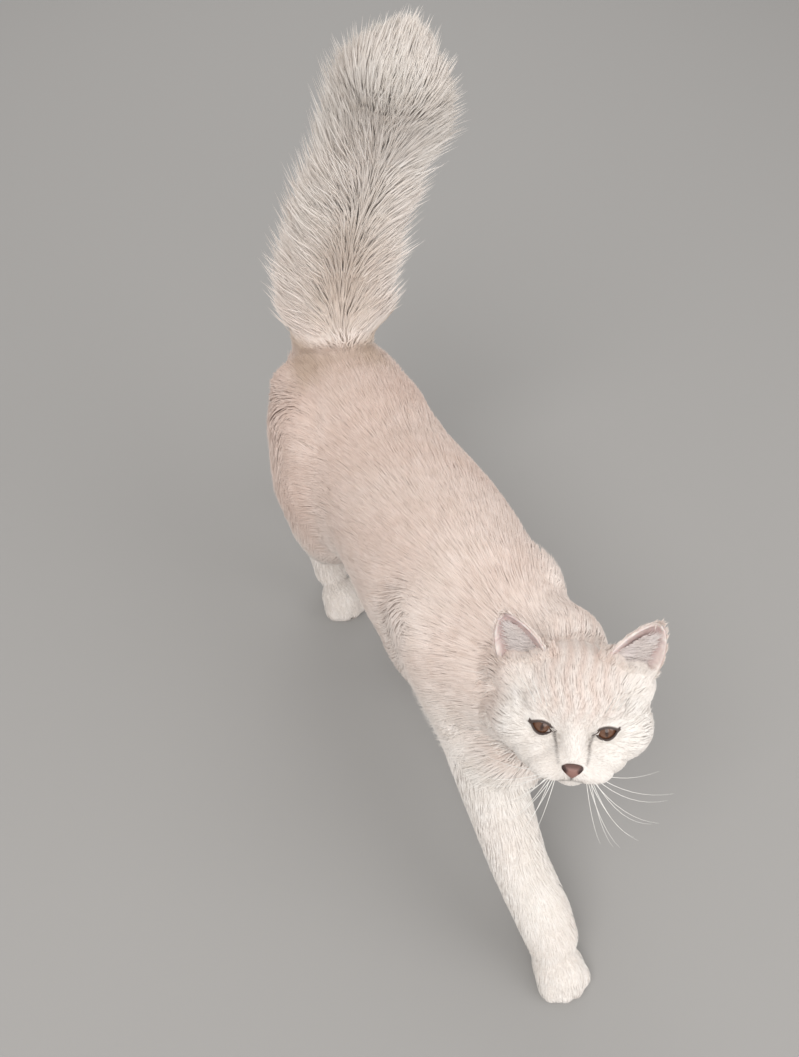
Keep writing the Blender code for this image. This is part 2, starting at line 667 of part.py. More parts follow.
def tail_path(name):
    """The region of one length of tail: a cut across the tail that flares outwards and goes on past the tip."""
    stretch, share, radius = TAIL_CUTS[name]
    centre, direction = along(TAIL, stretch, share)
    rings = [(*centre, radius)]
    for ahead, wider in TAIL_FLARE:
        rings.append((*(centre + direction * ahead), radius + wider))
    clear = TAIL_FLARE[-1][0] + 0.01
    beyond = [s for s in TAIL[stretch + 2 :] if (Vector(s[:3]) - centre).dot(direction) > clear]
    rings.extend((x, y, z, radius + TAIL_FLARE[-1][1]) for x, y, z, _, _ in beyond)
    last = Vector(rings[-1][:3])
    rings.append((*(last + direction * 0.06), radius + TAIL_FLARE[-1][1]))
    return rings


def zone(around, cut):
    """A ball around the node, less what lies beyond its hind cut."""
    centre, radius = around
    bm = bmesh.new()
    ball(bm, at(centre), evenly(radius), 24, 14)
    bmesh.ops.triangulate(bm, faces=bm.faces)
    return boolean(new_object("region", bm), "DIFFERENCE", tube_region([*cut, FAR_END]))


def floor_cutter():
    bm = bmesh.new()
    bmesh.ops.create_cube(bm, size=1, matrix=at(Vector((0, 0, -0.05))) @ Matrix.Diagonal((2, 2, 0.1, 1)))
    return new_object("floor_cutter", bm)


def part_body(whole):
    """The thin cuts: each node is what its region holds, and the rest keeps a gap to it."""
    regions = {name: tube_region(leg_path(name)) for name in LEGS}
    for name in reversed(TAIL_CUTS):
        regions[name] = tube_region(tail_path(name))
    regions["head"] = zone(HEAD_ZONE, HEAD_CUT)
    regions["neck"] = zone(NECK_ZONE, NECK_CUT)
    nodes = {}
    for name, region in regions.items():
        clearance = grown(region, GAP)
        nodes[name] = largest_body(boolean(copy_of(whole, name), "INTERSECT", region))
        boolean(whole, "DIFFERENCE", clearance)
    nodes["torso"] = largest_body(copy_of(whole, "torso"))
    bpy.data.objects.remove(whole)
    return nodes


def surface_of(made):
    bm = bmesh.new()
    bm.from_mesh(made.data)
    tree = BVHTree.FromBMesh(bm)
    bm.free()
    return tree


def grown(made, by):
    """A copy whose surface stands off the first one evenly, all round."""
    bm = bmesh.new()
    bm.from_mesh(made.data)
    bm.normal_update()
    steps = [vert.normal * vert.calc_shell_factor() * by for vert in bm.verts]
    for vert, step in zip(bm.verts, steps):
        vert.co += step
    return new_object("grown", bm)


def ears(core):
    """Both ears, each seated on the skull with the gap that touching pieces keep."""
    nodes = {}
    for side, hand in ((1, "left"), (-1, "right")):
        shell = ear(f"ear_{hand}", side)
        nodes[f"ear_{hand}"] = largest_body(boolean(shell, "DIFFERENCE", grown(core, GAP)))
    return nodes


def face_features(head, nodes):
    """Lids, eyes, nose and mouth line, cut into the head or set on it."""
    surface = surface_of(head)
    for side, hand in ((1, "left"), (-1, "right")):
        boolean(head, "UNION", eyeball("lids", side, LID_THICKNESS))
        boolean(head, "DIFFERENCE", eyeball("socket", side, GAP))
        boolean(head, "DIFFERENCE", eye_opening(side))
        nodes[f"eye_{hand}"] = eyeball(f"eye_{hand}", side)
        boolean(head, "DIFFERENCE", groove("lip_line", mirrored(LIP_LINE, side), surface, MOUTH_DEPTH))
    boolean(head, "DIFFERENCE", groove("philtrum", PHILTRUM, surface, MOUTH_DEPTH))
    boolean(head, "DIFFERENCE", nose_pad("nose_seat", GAP))
    nose = nose_pad("nose")
    for side in (1, -1):
        bm = bmesh.new()
        place = Vector((NOSTRIL_PLACE.x * side, *NOSTRIL_PLACE.yz))
        ball(bm, HEAD @ at(place), NOSTRIL_SIZE, 8, 5)
        boolean(nose, "DIFFERENCE", new_object("nostril", bm))
    nodes["nose"] = nose
    largest_body(head)


def centre_on_floor(nodes):
    """Moves every mesh alike, so that the origin is the middle of the footprint."""
    corners = [v.co for made in nodes.values() for v in made.data.vertices]
    low = Vector(min(c[i] for c in corners) for i in range(3))
    high = Vector(max(c[i] for c in corners) for i in range(3))
    shift = -Vector(((low.x + high.x) / 2, (low.y + high.y) / 2, low.z))
    for made in nodes.values():
        made.data.transform(Matrix.Translation(shift))
    return shift


def main():
    clear_scene()
    whole = body_core()
    boolean(whole, "UNION", head_core())
    nodes = ears(whole)
    join_locks(whole, coat_locks(surface_of(whole)))
    boolean(whole, "DIFFERENCE", floor_cutter())
    nodes.update(part_body(whole))
    face_features(nodes["head"], nodes)
    for name, made in nodes.items():
        made.data.materials.clear()
        made.data.materials.append(finish(FINISH_OF[name]))
    return centre_on_floor(nodes)


SHIFT = main()
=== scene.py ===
"""The cream long-haired cat, dressed: one skin, its coat in solid tufts, ears, eyes, nose and whiskers.

Shapes are worked out in the cat's own design frame, in metres: it walks towards -Y, its left is +X and the
floor is z = 0. Every finished piece is then moved by SHIFT into the frame that the CAD nodes share.
"""

import math

import bmesh
import bpy
import numpy as np
from mathutils import Matrix, Vector
from mathutils.bvhtree import BVHTree
from mathutils.kdtree import KDTree


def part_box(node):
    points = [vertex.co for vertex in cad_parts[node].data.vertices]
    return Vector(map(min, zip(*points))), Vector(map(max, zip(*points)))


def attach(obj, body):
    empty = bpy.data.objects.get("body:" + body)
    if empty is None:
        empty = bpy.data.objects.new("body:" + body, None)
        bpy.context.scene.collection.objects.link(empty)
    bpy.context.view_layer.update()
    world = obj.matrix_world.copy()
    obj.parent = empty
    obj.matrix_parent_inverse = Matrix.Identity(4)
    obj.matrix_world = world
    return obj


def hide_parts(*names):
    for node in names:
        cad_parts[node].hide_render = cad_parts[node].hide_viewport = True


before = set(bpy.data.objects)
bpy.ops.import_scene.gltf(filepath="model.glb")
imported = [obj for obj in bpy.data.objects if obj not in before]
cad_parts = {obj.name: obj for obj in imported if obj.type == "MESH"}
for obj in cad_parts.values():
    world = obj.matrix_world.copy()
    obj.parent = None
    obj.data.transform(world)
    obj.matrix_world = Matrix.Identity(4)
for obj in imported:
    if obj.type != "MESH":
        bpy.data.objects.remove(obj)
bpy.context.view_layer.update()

SEED = 11
FLESH_NODES = (
    "head",
    "neck",
    "torso",
    "tail_base",
    "tail_middle",
    "tail_tip",
    "leg_fore_right",
    "leg_fore_left",
    "leg_hind_right",
    "leg_hind_left",
)

# The skin stands this share of the coat's depth above the flesh, and the tufts make up the rest.
SKIN_SHARE = 0.52

# Stations of the trunk: centre x, y, z, half width, half height, coat depth.
# The hips swing to the cat's right.
TRUNK = (
    (-0.008, 0.178, 0.215, 0.040, 0.024, 0.013),
    (-0.009, 0.152, 0.205, 0.049, 0.036, 0.015),
    (-0.007, 0.112, 0.191, 0.050, 0.048, 0.015),
    (-0.003, 0.055, 0.186, 0.048, 0.049, 0.015),
    (0.000, 0.000, 0.181, 0.054, 0.056, 0.015),
    (0.000, -0.055, 0.178, 0.055, 0.060, 0.015),
    (0.000, -0.105, 0.180, 0.047, 0.055, 0.016),
    (0.000, -0.142, 0.180, 0.034, 0.040, 0.020),
)

# Stations of the neck: centre x, y, z, half width, half height, coat depth.
NECK = (
    (0.000, -0.105, 0.190, 0.044, 0.042, 0.016),
    (0.004, -0.140, 0.186, 0.040, 0.040, 0.015),
    (0.010, -0.170, 0.184, 0.036, 0.037, 0.014),
    (0.014, -0.198, 0.194, 0.030, 0.030, 0.010),
)
THROAT, THROAT_SIZE = Vector((0.012, -0.203, 0.188)), Vector((0.030, 0.022, 0.027))

# Stations of each leg: centre x, y, z, half width, half depth, coat depth.
LEGS = {
    "leg_fore_right": (
        (-0.036, -0.098, 0.196, 0.022, 0.036, 0.010),
        (-0.030, -0.125, 0.160, 0.023, 0.032, 0.008),
        (-0.024, -0.155, 0.124, 0.022, 0.026, 0.007),
        (-0.028, -0.200, 0.097, 0.0200, 0.0210, 0.005),
        (-0.030, -0.242, 0.072, 0.0180, 0.0170, 0.004),
        (-0.025, -0.274, 0.046, 0.0190, 0.0160, 0.003),
        (-0.0220, -0.292, 0.022, 0.0168, 0.0150, 0.003),
    ),
    "leg_fore_left": (
        (0.036, -0.098, 0.196, 0.020, 0.034, 0.013),
        (0.041, -0.098, 0.155, 0.021, 0.030, 0.013),
        (0.043, -0.080, 0.116, 0.018, 0.020, 0.010),
        (0.040, -0.062, 0.082, 0.0145, 0.0150, 0.006),
        (0.038, -0.050, 0.052, 0.0125, 0.0125, 0.004),
        (0.036, -0.052, 0.030, 0.0140, 0.0125, 0.003),
        (0.035, -0.060, 0.018, 0.0150, 0.0120, 0.003),
    ),
    "leg_hind_right": (
        (-0.042, 0.120, 0.198, 0.027, 0.044, 0.014),
        (-0.048, 0.097, 0.158, 0.028, 0.044, 0.014),
        (-0.049, 0.082, 0.126, 0.022, 0.035, 0.011),
        (-0.047, 0.100, 0.096, 0.0155, 0.0220, 0.012),
        (-0.045, 0.126, 0.068, 0.0115, 0.0140, 0.007),
        (-0.043, 0.122, 0.044, 0.0115, 0.0120, 0.004),
        (-0.041, 0.104, 0.022, 0.0140, 0.0120, 0.003),
    ),
    "leg_hind_left": (
        (0.026, 0.118, 0.196, 0.020, 0.040, 0.012),
        (0.034, 0.112, 0.158, 0.021, 0.040, 0.012),
        (0.041, 0.112, 0.126, 0.019, 0.034, 0.012),
        (0.045, 0.142, 0.104, 0.0155, 0.0215, 0.010),
        (0.045, 0.176, 0.086, 0.0115, 0.0140, 0.007),
        (0.043, 0.186, 0.056, 0.0110, 0.0115, 0.004),
        (0.041, 0.182, 0.030, 0.0130, 0.0120, 0.003),
    ),
}
PAWS = {
    "leg_fore_right": (-0.024, -0.302),
    "leg_fore_left": (0.035, -0.074),
    "leg_hind_right": (-0.040, 0.086),
    "leg_hind_left": (0.040, 0.168),
}
PAW_SIZE = Vector((0.0185, 0.0210, 0.0150))
PAW_SINK = 0.0030
TOE_SIZE = Vector((0.0066, 0.0104, 0.0090))
TOE_SPREAD, TOE_REACH, TOE_FAN = 0.0090, 0.0142, 0.0021

# Rounded forms that fill the hollows beside the legs, below the throat and behind the skull.
# Each is given by its centre and half sizes.
FILLS = (
    (-0.044, 0.068, 0.168, 0.022, 0.055, 0.046),
    (0.034, 0.068, 0.168, 0.020, 0.055, 0.044),
    (-0.036, -0.085, 0.165, 0.024, 0.050, 0.048),
    (0.036, -0.085, 0.165, 0.024, 0.050, 0.048),
    (-0.040, 0.154, 0.198, 0.026, 0.030, 0.036),
    (0.016, 0.150, 0.196, 0.018, 0.028, 0.032),
    (-0.004, -0.184, 0.136, 0.028, 0.022, 0.040),
    (0.028, -0.164, 0.202, 0.034, 0.033, 0.033),
)

# Tail: centre line x, y, z, flesh radius, coat depth.
TAIL = (
    (-0.004, 0.168, 0.222, 0.017, 0.014),
    (0.004, 0.190, 0.244, 0.020, 0.025),
    (0.013, 0.204, 0.282, 0.017, 0.026),
    (0.028, 0.208, 0.335, 0.014, 0.026),
    (0.045, 0.204, 0.384, 0.012, 0.026),
    (0.058, 0.199, 0.416, 0.015, 0.027),
    (0.063, 0.195, 0.436, 0.017, 0.027),
)

# The head's own frame has its origin midway between the eyes, X to its left and the face towards -Y.
EYE_LINE = Vector((0.000, -0.231, 0.225))
FACE_YAW, FACE_PITCH, FACE_ROLL = math.radians(-32.6), math.radians(-30.0), math.radians(-2.0)
HEAD = Matrix.Translation(EYE_LINE) @ (
    Matrix.Rotation(FACE_YAW, 4, "Z")
    @ Matrix.Rotation(FACE_PITCH, 4, "X")
    @ Matrix.Rotation(FACE_ROLL, 4, "Y")
)

# Rounded forms that make up the head: x, y, z of the centre, the three half sizes and the coat's depth.
# A form away from the middle is made on both sides.
HEAD_FORMS = (
    (0.0000, 0.0320, 0.0070, 0.0350, 0.0380, 0.0310, 0.003),
    (0.0255, 0.0260, -0.0085, 0.0200, 0.0230, 0.0182, 0.008),
    (0.0262, 0.0340, 0.0080, 0.0180, 0.0220, 0.0235, 0.005),
    (0.0175, 0.0110, -0.0205, 0.0168, 0.0188, 0.0126, 0.003),
    (0.0000, 0.0120, -0.0235, 0.0215, 0.0225, 0.0150, 0.003),
    (0.0000, -0.0040, -0.0210, 0.0190, 0.0150, 0.0110, 0.001),
    (0.0122, -0.0072, -0.0240, 0.0138, 0.0105, 0.0084, 0.001),
    (0.0000, -0.0035, -0.0312, 0.0098, 0.0088, 0.0060, 0.001),
    (0.0175, 0.0065, 0.0115, 0.0135, 0.0090, 0.0082, 0.001),
    (0.0280, 0.0175, 0.0020, 0.0120, 0.0130, 0.0175, 0.002),
    (0.0368, 0.0330, 0.0180, 0.0115, 0.0130, 0.0150, 0.003),
    (0.0200, 0.0310, 0.0300, 0.0110, 0.0100, 0.0085, 0.002),
)
NOSE_BRIDGE = (
    (0.0, 0.0045, 0.0120, 0.0100),
    (0.0, -0.0040, -0.0050, 0.0082),
    (0.0, -0.0138, -0.0178, 0.0064),
)

NODE_EYE = Vector((0.0200, 0.0070, 0.0))
EYE_HALF_SPACING, EYE_DEPTH, EYE_RADIUS = 0.0192, 0.0070, 0.0100
LID_THICKNESS = 0.0014
EYE_TURN, EYE_TILT = math.radians(5), math.radians(11)
EYE_OPENING, UPPER_ARC, LOWER_ARC = 0.0134, 0.0032, 0.0049
GAP = 0.0002

NOSE_PLACE, NOSE_SIZE = Vector((0.0, -0.0180, -0.0204)), Vector((0.0088, 0.0038, 0.0048))
NOSTRIL_PLACE, NOSTRIL_SIZE = Vector((0.0052, -0.0200, -0.0198)), Vector((0.0021, 0.0022, 0.0010))
NOSE_NARROW, NOSE_TAPER = 0.66, 0.42
MOUTH_DEPTH = 0.0009
PHILTRUM = ((0.0, -0.0195, -0.0240), (0.0, -0.0190, -0.0262), (0.0, -0.0175, -0.0285))
LIP_LINE = (
    (0.0, -0.0175, -0.0285),
    (0.0060, -0.0165, -0.0310),
    (0.0120, -0.0120, -0.0312),
    (0.0180, -0.0050, -0.0300),
)
TEAR_LINE = ((0.0128, -0.0030, -0.0010), (0.0112, -0.0080, -0.0085), (0.0088, -0.0140, -0.0165))

# Ear: inner end of the base, outer end of the base and tip in the head's frame, for the left ear.
EAR_INNER, EAR_OUTER = Vector((0.0180, 0.0270, 0.0360)), Vector((0.0482, 0.0330, 0.0255))
EAR_TIP = Vector((0.0492, 0.0300, 0.0610))
EAR_THICKNESS, EAR_CUP, EAR_SUNK = 0.0016, 0.0085, 0.45

# Colours of the coat and bare parts, as linear reflectances.
PALE = np.array((0.95, 0.92, 0.89))
CREAM = np.array((0.77, 0.625, 0.560))
# SHADE is the colour of painted shade in the plume's parting and the crease at the tail's root.
SHADE = np.array((0.52, 0.40, 0.30))
RIM_BROWN = np.array((0.045, 0.022, 0.016))
EAR_PINK = np.array((0.64, 0.52, 0.50))
EAR_RIM = np.array((0.86, 0.78, 0.74))
EAR_HAIR = np.array((0.84, 0.79, 0.78))
NOSE_PINK = np.array((0.30, 0.160, 0.135))
NOSE_DARK = np.array((0.055, 0.028, 0.025))
WHITE = (1.0, 1.0, 1.0)

# The two sides of the cat: +1 is its left.
HANDS = ((1, "left"), (-1, "right"))

# Camera, in the design frame.
CAMERA_PLACE = Vector((-0.2358, -0.4864, 0.779))
CAMERA_TURN = (math.radians(42.0), 0.0, math.radians(-24.2))
IMAGE_HEIGHT_PX, FOCAL_PX, SENSOR_MM = 1057, 1000, 36

SHIFT = (sum((Vector(corner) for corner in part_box("eye_left")), Vector()) / 2) - HEAD @ NODE_EYE


def numbers(vectors):
    return np.array([tuple(v) for v in vectors], dtype=np.float64)


def unit(rows):
    return rows / np.maximum(np.linalg.norm(rows, axis=-1, keepdims=True), 1e-12)


def evenly(size):
    return Vector((size, size, size))


def at(point):
    return Matrix.Translation(point)


def smooth_step(low, high, value):
    share = np.clip((value - low) / (high - low), 0.0, 1.0)
    return share * share * (3 - 2 * share)


def moved(points, matrix):
    turn = np.array(matrix)
    return points @ turn[:3, :3].T + turn[:3, 3]


def to_head(points):
    return moved(points, HEAD.inverted())


def head_vectors(vectors):
    """Vectors of the head's frame, turned into the design frame."""
    return vectors @ np.array(HEAD)[:3, :3].T


def new_object(name, bm):
    bmesh.ops.recalc_face_normals(bm, faces=bm.faces)
    for face in bm.faces:
        face.smooth = True
    mesh = bpy.data.meshes.new(name)
    bm.to_mesh(mesh)
    bm.free()
    made = bpy.data.objects.new(name, mesh)
    bpy.context.scene.collection.objects.link(made)
    return made


def applied(made):
    graph = bpy.context.evaluated_depsgraph_get()
    mesh = bpy.data.meshes.new_from_object(made.evaluated_get(graph))
    made.modifiers.clear()
    old = made.data
    made.data = mesh
    bpy.data.meshes.remove(old)
    return made


def ring_frame(centre, along, side):
    """A frame whose Z runs along the limb and whose X points to the animal's side."""
    z = along.normalized()
    x = (side - z * side.dot(z)).normalized()
    return Matrix.Translation(centre) @ Matrix((x, z.cross(x), z)).transposed().to_4x4()


def loft(bm, rings, sides, side=Vector((1, 0, 0))):
    """A closed tube through rings of (centre, half width, half height)."""
    loops = []
    for i, (centre, wide, high) in enumerate(rings):
        along = rings[min(i + 1, len(rings) - 1)][0] - rings[max(i - 1, 0)][0]
        place = ring_frame(centre, along, side) @ Matrix.Diagonal((wide, high, 1, 1))
        loops.append(bmesh.ops.create_circle(bm, segments=sides, radius=1, matrix=place)["verts"])
    for near, far in zip(loops, loops[1:]):
        near, far = set(near), set(far)
        edges = {e for v in near | far for e in v.link_edges if len(e.link_faces) < 2}
        edges = [e for e in edges if set(e.verts) <= near or set(e.verts) <= far]
        bmesh.ops.bridge_loops(bm, edges=edges)
    bm.faces.new(loops[0])
    bm.faces.new(loops[-1])


def ball(bm, place, size, segments=24, rings=16):
    bmesh.ops.create_uvsphere(
        bm, u_segments=segments, v_segments=rings, radius=1, matrix=place @ Matrix.Diagonal((*size, 1))
    )


def fuse(made, voxel, smoothing):
    """Overlapping closed shapes made one smooth skin."""
    remesh = made.modifiers.new("fuse", "REMESH")
    remesh.mode = "VOXEL"
    remesh.voxel_size = voxel
    relax = made.modifiers.new("relax", "SMOOTH")
    relax.factor = 0.5
    relax.iterations = smoothing
    return applied(made)


def boolean(made, operation, other):
    step = made.modifiers.new(operation.lower(), "BOOLEAN")
    step.operation = operation
    step.solver = "MANIFOLD"
    step.object = other
    applied(made)
    bpy.data.objects.remove(other)
    return made


def surface_of(made):
    bm = bmesh.new()
    bm.from_mesh(made.data)
    tree = BVHTree.FromBMesh(bm)
    bm.free()
    return tree


def mirrored(points, side):
    return [(x * side, y, z) for x, y, z in points]


def grown_ring(x, y, z, wide, high, coat):
    return Vector((x, y, z)), wide + coat * SKIN_SHARE, high + coat * SKIN_SHARE


def paw(bm, spot):
    x, y = spot
    ball(bm, at(Vector((x, y, PAW_SIZE.z - PAW_SINK))), PAW_SIZE)
    for i in range(4):
        off = i - 1.5
        toe = Vector((x + off * TOE_SPREAD, y - TOE_REACH + TOE_FAN * off * off, TOE_SIZE.z - PAW_SINK))
        ball(bm, at(toe), TOE_SIZE)


def body_skin():
    """Trunk, neck, tail and legs as one smooth form, grown by the skin's share of the coat."""
    bm = bmesh.new()
    loft(bm, [grown_ring(*station) for station in TRUNK], 32)
    x, y, z, wide, high, coat = TRUNK[-1]
    ball(bm, at(Vector((x, y, z))), Vector((wide, 0.012, high)) + evenly(coat * SKIN_SHARE))
    loft(bm, [grown_ring(*station) for station in NECK], 28)
    loft(bm, [grown_ring(x, y, z, r, r, c) for x, y, z, r, c in TAIL], 20)
    x, y, z, radius, coat = TAIL[-1]
    ball(bm, at(Vector((x, y, z))), evenly(radius + coat * SKIN_SHARE))
    ball(bm, at(THROAT), THROAT_SIZE + evenly(NECK[-1][-1] * SKIN_SHARE))
    for x, y, z, *size in FILLS:
        ball(bm, at(Vector((x, y, z))), size)
    for name, stations in LEGS.items():
        rings = [grown_ring(*station) for station in stations]
        loft(bm, rings, 24)
        centre, wide, deep = rings[0]
        ball(bm, at(centre), (wide, deep, 0.75 * deep))
        paw(bm, PAWS[name])
    return fuse(new_object("body_skin", bm), 0.0026, 8)


def head_skin():
    """Skull, cheeks, muzzle and the bridge of the nose as one smooth form."""
    bm = bmesh.new()
    for x, y, z, wide, deep, high, coat in HEAD_FORMS:
        size = Vector((wide, deep, high)) + evenly(coat * SKIN_SHARE)
        for side in (1, -1) if x else (1,):
            ball(bm, HEAD @ at(Vector((x * side, y, z))), size, 32, 20)
    loft(bm, [(HEAD @ Vector((x, y, z)), r, r) for x, y, z, r in NOSE_BRIDGE], 20)
    return fuse(new_object("head_skin", bm), 0.0013, 5)


def eye_frame(side):
    """The eyeball's place: -Y looks out of the eye and X runs along the lids."""
    centre = Vector((side * EYE_HALF_SPACING, EYE_DEPTH, 0))
    turn = Matrix.Rotation(side * EYE_TURN, 4, "Z") @ Matrix.Rotation(-side * EYE_TILT, 4, "Y")
    return HEAD @ at(centre) @ turn


def to_eye(points, side):
    return moved(points, eye_frame(side).inverted())


def eye_ball(name, side, grow):
    bm = bmesh.new()
    poles = eye_frame(side) @ Matrix.Rotation(math.pi / 2, 4, "X")
    ball(bm, poles, evenly(EYE_RADIUS + grow), 96, 64)
    return new_object(name, bm)


def almond(x):
    """Heights of the lids' edges above and below the line between the eye's corners."""
    share = 1 - (x / (EYE_OPENING / 2)) ** 2
    return UPPER_ARC * share, -LOWER_ARC * share


def eye_opening(side):
    """The almond between the lids, as a prism running out of the face."""
    bm = bmesh.new()
    half, steps = EYE_OPENING / 2, 14
    outline = []
    for edge, order in ((0, range(-steps, steps)), (1, range(steps, -steps, -1))):
        for i in order:
            across = half * i / steps
            outline.append(bm.verts.new((across, -2 * EYE_RADIUS, almond(across)[edge])))
    face = bm.faces.new(outline)
    made = bmesh.ops.extrude_face_region(bm, geom=[face])["geom"]
    moved = [v for v in made if isinstance(v, bmesh.types.BMVert)]
    bmesh.ops.translate(bm, verts=moved, vec=(0, 2 * EYE_RADIUS, 0))
    bmesh.ops.transform(bm, matrix=eye_frame(side), verts=bm.verts)
    return new_object("eye_opening", bm)


def groove(name, points, surface, radius):
    """A thin tube lying along a surface, which cuts a groove of its own radius there."""
    bm = bmesh.new()
    rings = [(surface.find_nearest(HEAD @ Vector(p))[0], radius, radius) for p in points]
    loft(bm, rings, 8, side=HEAD.to_3x3() @ Vector((0, -1, 0.3)))
    return new_object(name, bm)


def nose_leather(name, grow):
    """The nose leather: wide above, drawn in to the lip below."""
    bm = bmesh.new()
    ball(bm, at(Vector((0, 0, 0))), NOSE_SIZE + evenly(grow), 36, 24)
    for vert in bm.verts:
        height = vert.co.z / NOSE_SIZE.z
        vert.co.x *= NOSE_NARROW + NOSE_TAPER * height
        vert.co.y -= 0.0006 * max(0.0, height)
    bmesh.ops.transform(bm, matrix=HEAD @ at(NOSE_PLACE), verts=bm.verts)
    return new_object(name, bm)


def floor_cutter():
    """A slab below the floor, which gives the paws flat soles."""
    bm = bmesh.new()
    bmesh.ops.create_cube(bm, size=1, matrix=at(Vector((0, 0, -0.05))) @ Matrix.Diagonal((2, 2, 0.1, 1)))
    return new_object("floor_cutter", bm)


def whole_skin():
    """One skin from nose to tail, with the lids, the mouth line and the seat of the nose in it."""
    skin = boolean(body_skin(), "UNION", head_skin())
    surface = surface_of(skin)
    for side in (1, -1):
        boolean(skin, "UNION", eye_ball("lids", side, LID_THICKNESS))
        boolean(skin, "DIFFERENCE", eye_ball("socket", side, GAP))
        boolean(skin, "DIFFERENCE", eye_opening(side))
        boolean(skin, "DIFFERENCE", groove("lip_line", mirrored(LIP_LINE, side), surface, MOUTH_DEPTH))
    boolean(skin, "DIFFERENCE", groove("philtrum", PHILTRUM, surface, MOUTH_DEPTH))
    boolean(skin, "DIFFERENCE", nose_leather("nose_seat", GAP))
    boolean(skin, "DIFFERENCE", floor_cutter())
    skin.name = "skin"
    skin.data.shade_smooth()
    return skin


class Limbs:
    """Straight stretches of every limb, which give each point of the skin its coat's depth and lie."""

    def __init__(self):
        rows = []
        rows += self.stretches("trunk", TRUNK[::-1])
        rows += self.stretches("neck", NECK[::-1])
        rows += self.stretches("tail", [(x, y, z, r, r, c) for x, y, z, r, c in TAIL])
        for name, stations in LEGS.items():
            x, y = PAWS[name]
            rows += self.stretches(name, (*stations, (x, y - 0.008, 0.012, 0.016, 0.014, 0.003)))
        skull = HEAD @ Vector((0, 0.020, -0.004))
        crown = HEAD @ Vector((0, 0.040, 0.004))
        rows.append(("head", skull, crown, 0.037, 0.037, 0.004, 0.004, 0.0, 1.0))
        self.names = [row[0] for row in rows]
        self.start, self.end = numbers([row[1] for row in rows]), numbers([row[2] for row in rows])
        self.radius = np.array([row[3:5] for row in rows])
        self.coat = np.array([row[5:7] for row in rows])
        self.share = np.array([row[7:9] for row in rows])
        self.kinds = sorted(set(self.names))
        self.kind_of = np.array([self.kinds.index(name) for name in self.names])

    @staticmethod
    def stretches(name, stations):
        rows = []
        count = len(stations) - 1
        for i, (near, far) in enumerate(zip(stations, stations[1:])):
            radii = (near[3] + near[4]) / 2, (far[3] + far[4]) / 2
            ends = Vector(near[:3]), Vector(far[:3])
            rows.append((name, *ends, *radii, near[5], far[5], i / count, (i + 1) / count))
        return rows

    def read(self, points):
        """For each point: weights of the stretches, coat depth, share along the limb and nearest limb."""
        run = self.end - self.start
        offset = points[:, None, :] - self.start[None]
        share = np.clip((offset * run).sum(-1) / (run * run).sum(-1), 0, 1)
        away = np.linalg.norm(offset - share[..., None] * run, axis=-1)
        radius = self.radius[:, 0] * (1 - share) + self.radius[:, 1] * share
        depth = self.coat[:, 0] * (1 - share) + self.coat[:, 1] * share
        nearness = away / (radius + SKIN_SHARE * depth)
        weight = np.exp(-9.0 * (nearness - nearness.min(1, keepdims=True)))
        weight /= weight.sum(1, keepdims=True)
        best = nearness.argmin(1)
        rows = np.arange(len(points))
        along = self.share[best, 0] * (1 - share[rows, best]) + self.share[best, 1] * share[rows, best]
        return weight, (weight * depth).sum(1), along, self.kind_of[best]

    def tail_end(self):
        """The way the end of the tail points."""
        last = max(i for i, name in enumerate(self.names) if name == "tail")
        return unit(self.end[last] - self.start[last])

    def weight_of(self, weight, prefix):
        chosen = np.array([name.startswith(prefix) for name in self.names])
        return weight[:, chosen].sum(1)


LIMBS = Limbs()

# The way the coat lies on each limb: how far it follows the limb, then a fixed direction added to it.
LIE = {
    "trunk": (1.0, (0.0, 0.0, -0.42)),
    "neck": (0.75, (0.0, 0.10, -0.60)),
    "tail": (1.0, (0.0, 0.0, 0.0)),
    "leg": (1.0, (0.0, 0.22, -0.10)),
}
# The hair on the plume's front parts and lies out to both sides: how strongly, where it parts and how widely.
SIDE_LIE, PARTING_AT, PARTING_WIDTH = 0.95, -0.12, 0.16
# Heights over which that sideways lie sets in above the root and fades below the tip.
SIDE_LIE_ROOT, SIDE_LIE_TIP = (0.225, 0.262), (0.445, 0.340)
# The hair of the face spreads from this point of the muzzle, droops on the cheeks and leaves the eyes' edges.
FACE_CENTRE = (0.0, -0.012, -0.016)
CHEEK_DROOP, LID_SWEEP, LID_REACH = 0.55, 0.9, 0.0120


def plume_lie(points, normals, weight):
    """How far the hair on the plume's front lies out to the cat's left, or less than 0 to its right."""
    sideways = LIMBS.weight_of(weight, "tail") * smooth_step(*SIDE_LIE_ROOT, points[:, 2])
    sideways *= smooth_step(0.45, -0.25, normals[:, 1]) * smooth_step(*SIDE_LIE_TIP, points[:, 2])
    return SIDE_LIE * sideways * np.clip((normals[:, 0] - PARTING_AT) / PARTING_WIDTH, -1, 1)


def face_lie(points):
    """The way the hair of the head lies, in the design frame."""
    local = to_head(points)
    from_nose = unit(local - np.array(FACE_CENTRE))
    low = smooth_step(0.008, -0.020, local[:, 2])
    from_nose[:, 2] -= CHEEK_DROOP * low * smooth_step(0.010, 0.030, np.abs(local[:, 0]))
    for side in (1, -1):
        away = local - np.array((side * EYE_HALF_SPACING, EYE_DEPTH, 0.0))
        near = np.exp(-((np.linalg.norm(away, axis=1) / LID_REACH) ** 4))[:, None]
        from_nose += LID_SWEEP * near * unit(away * np.array((1.0, 0.2, 1.0)))
    return head_vectors(from_nose)


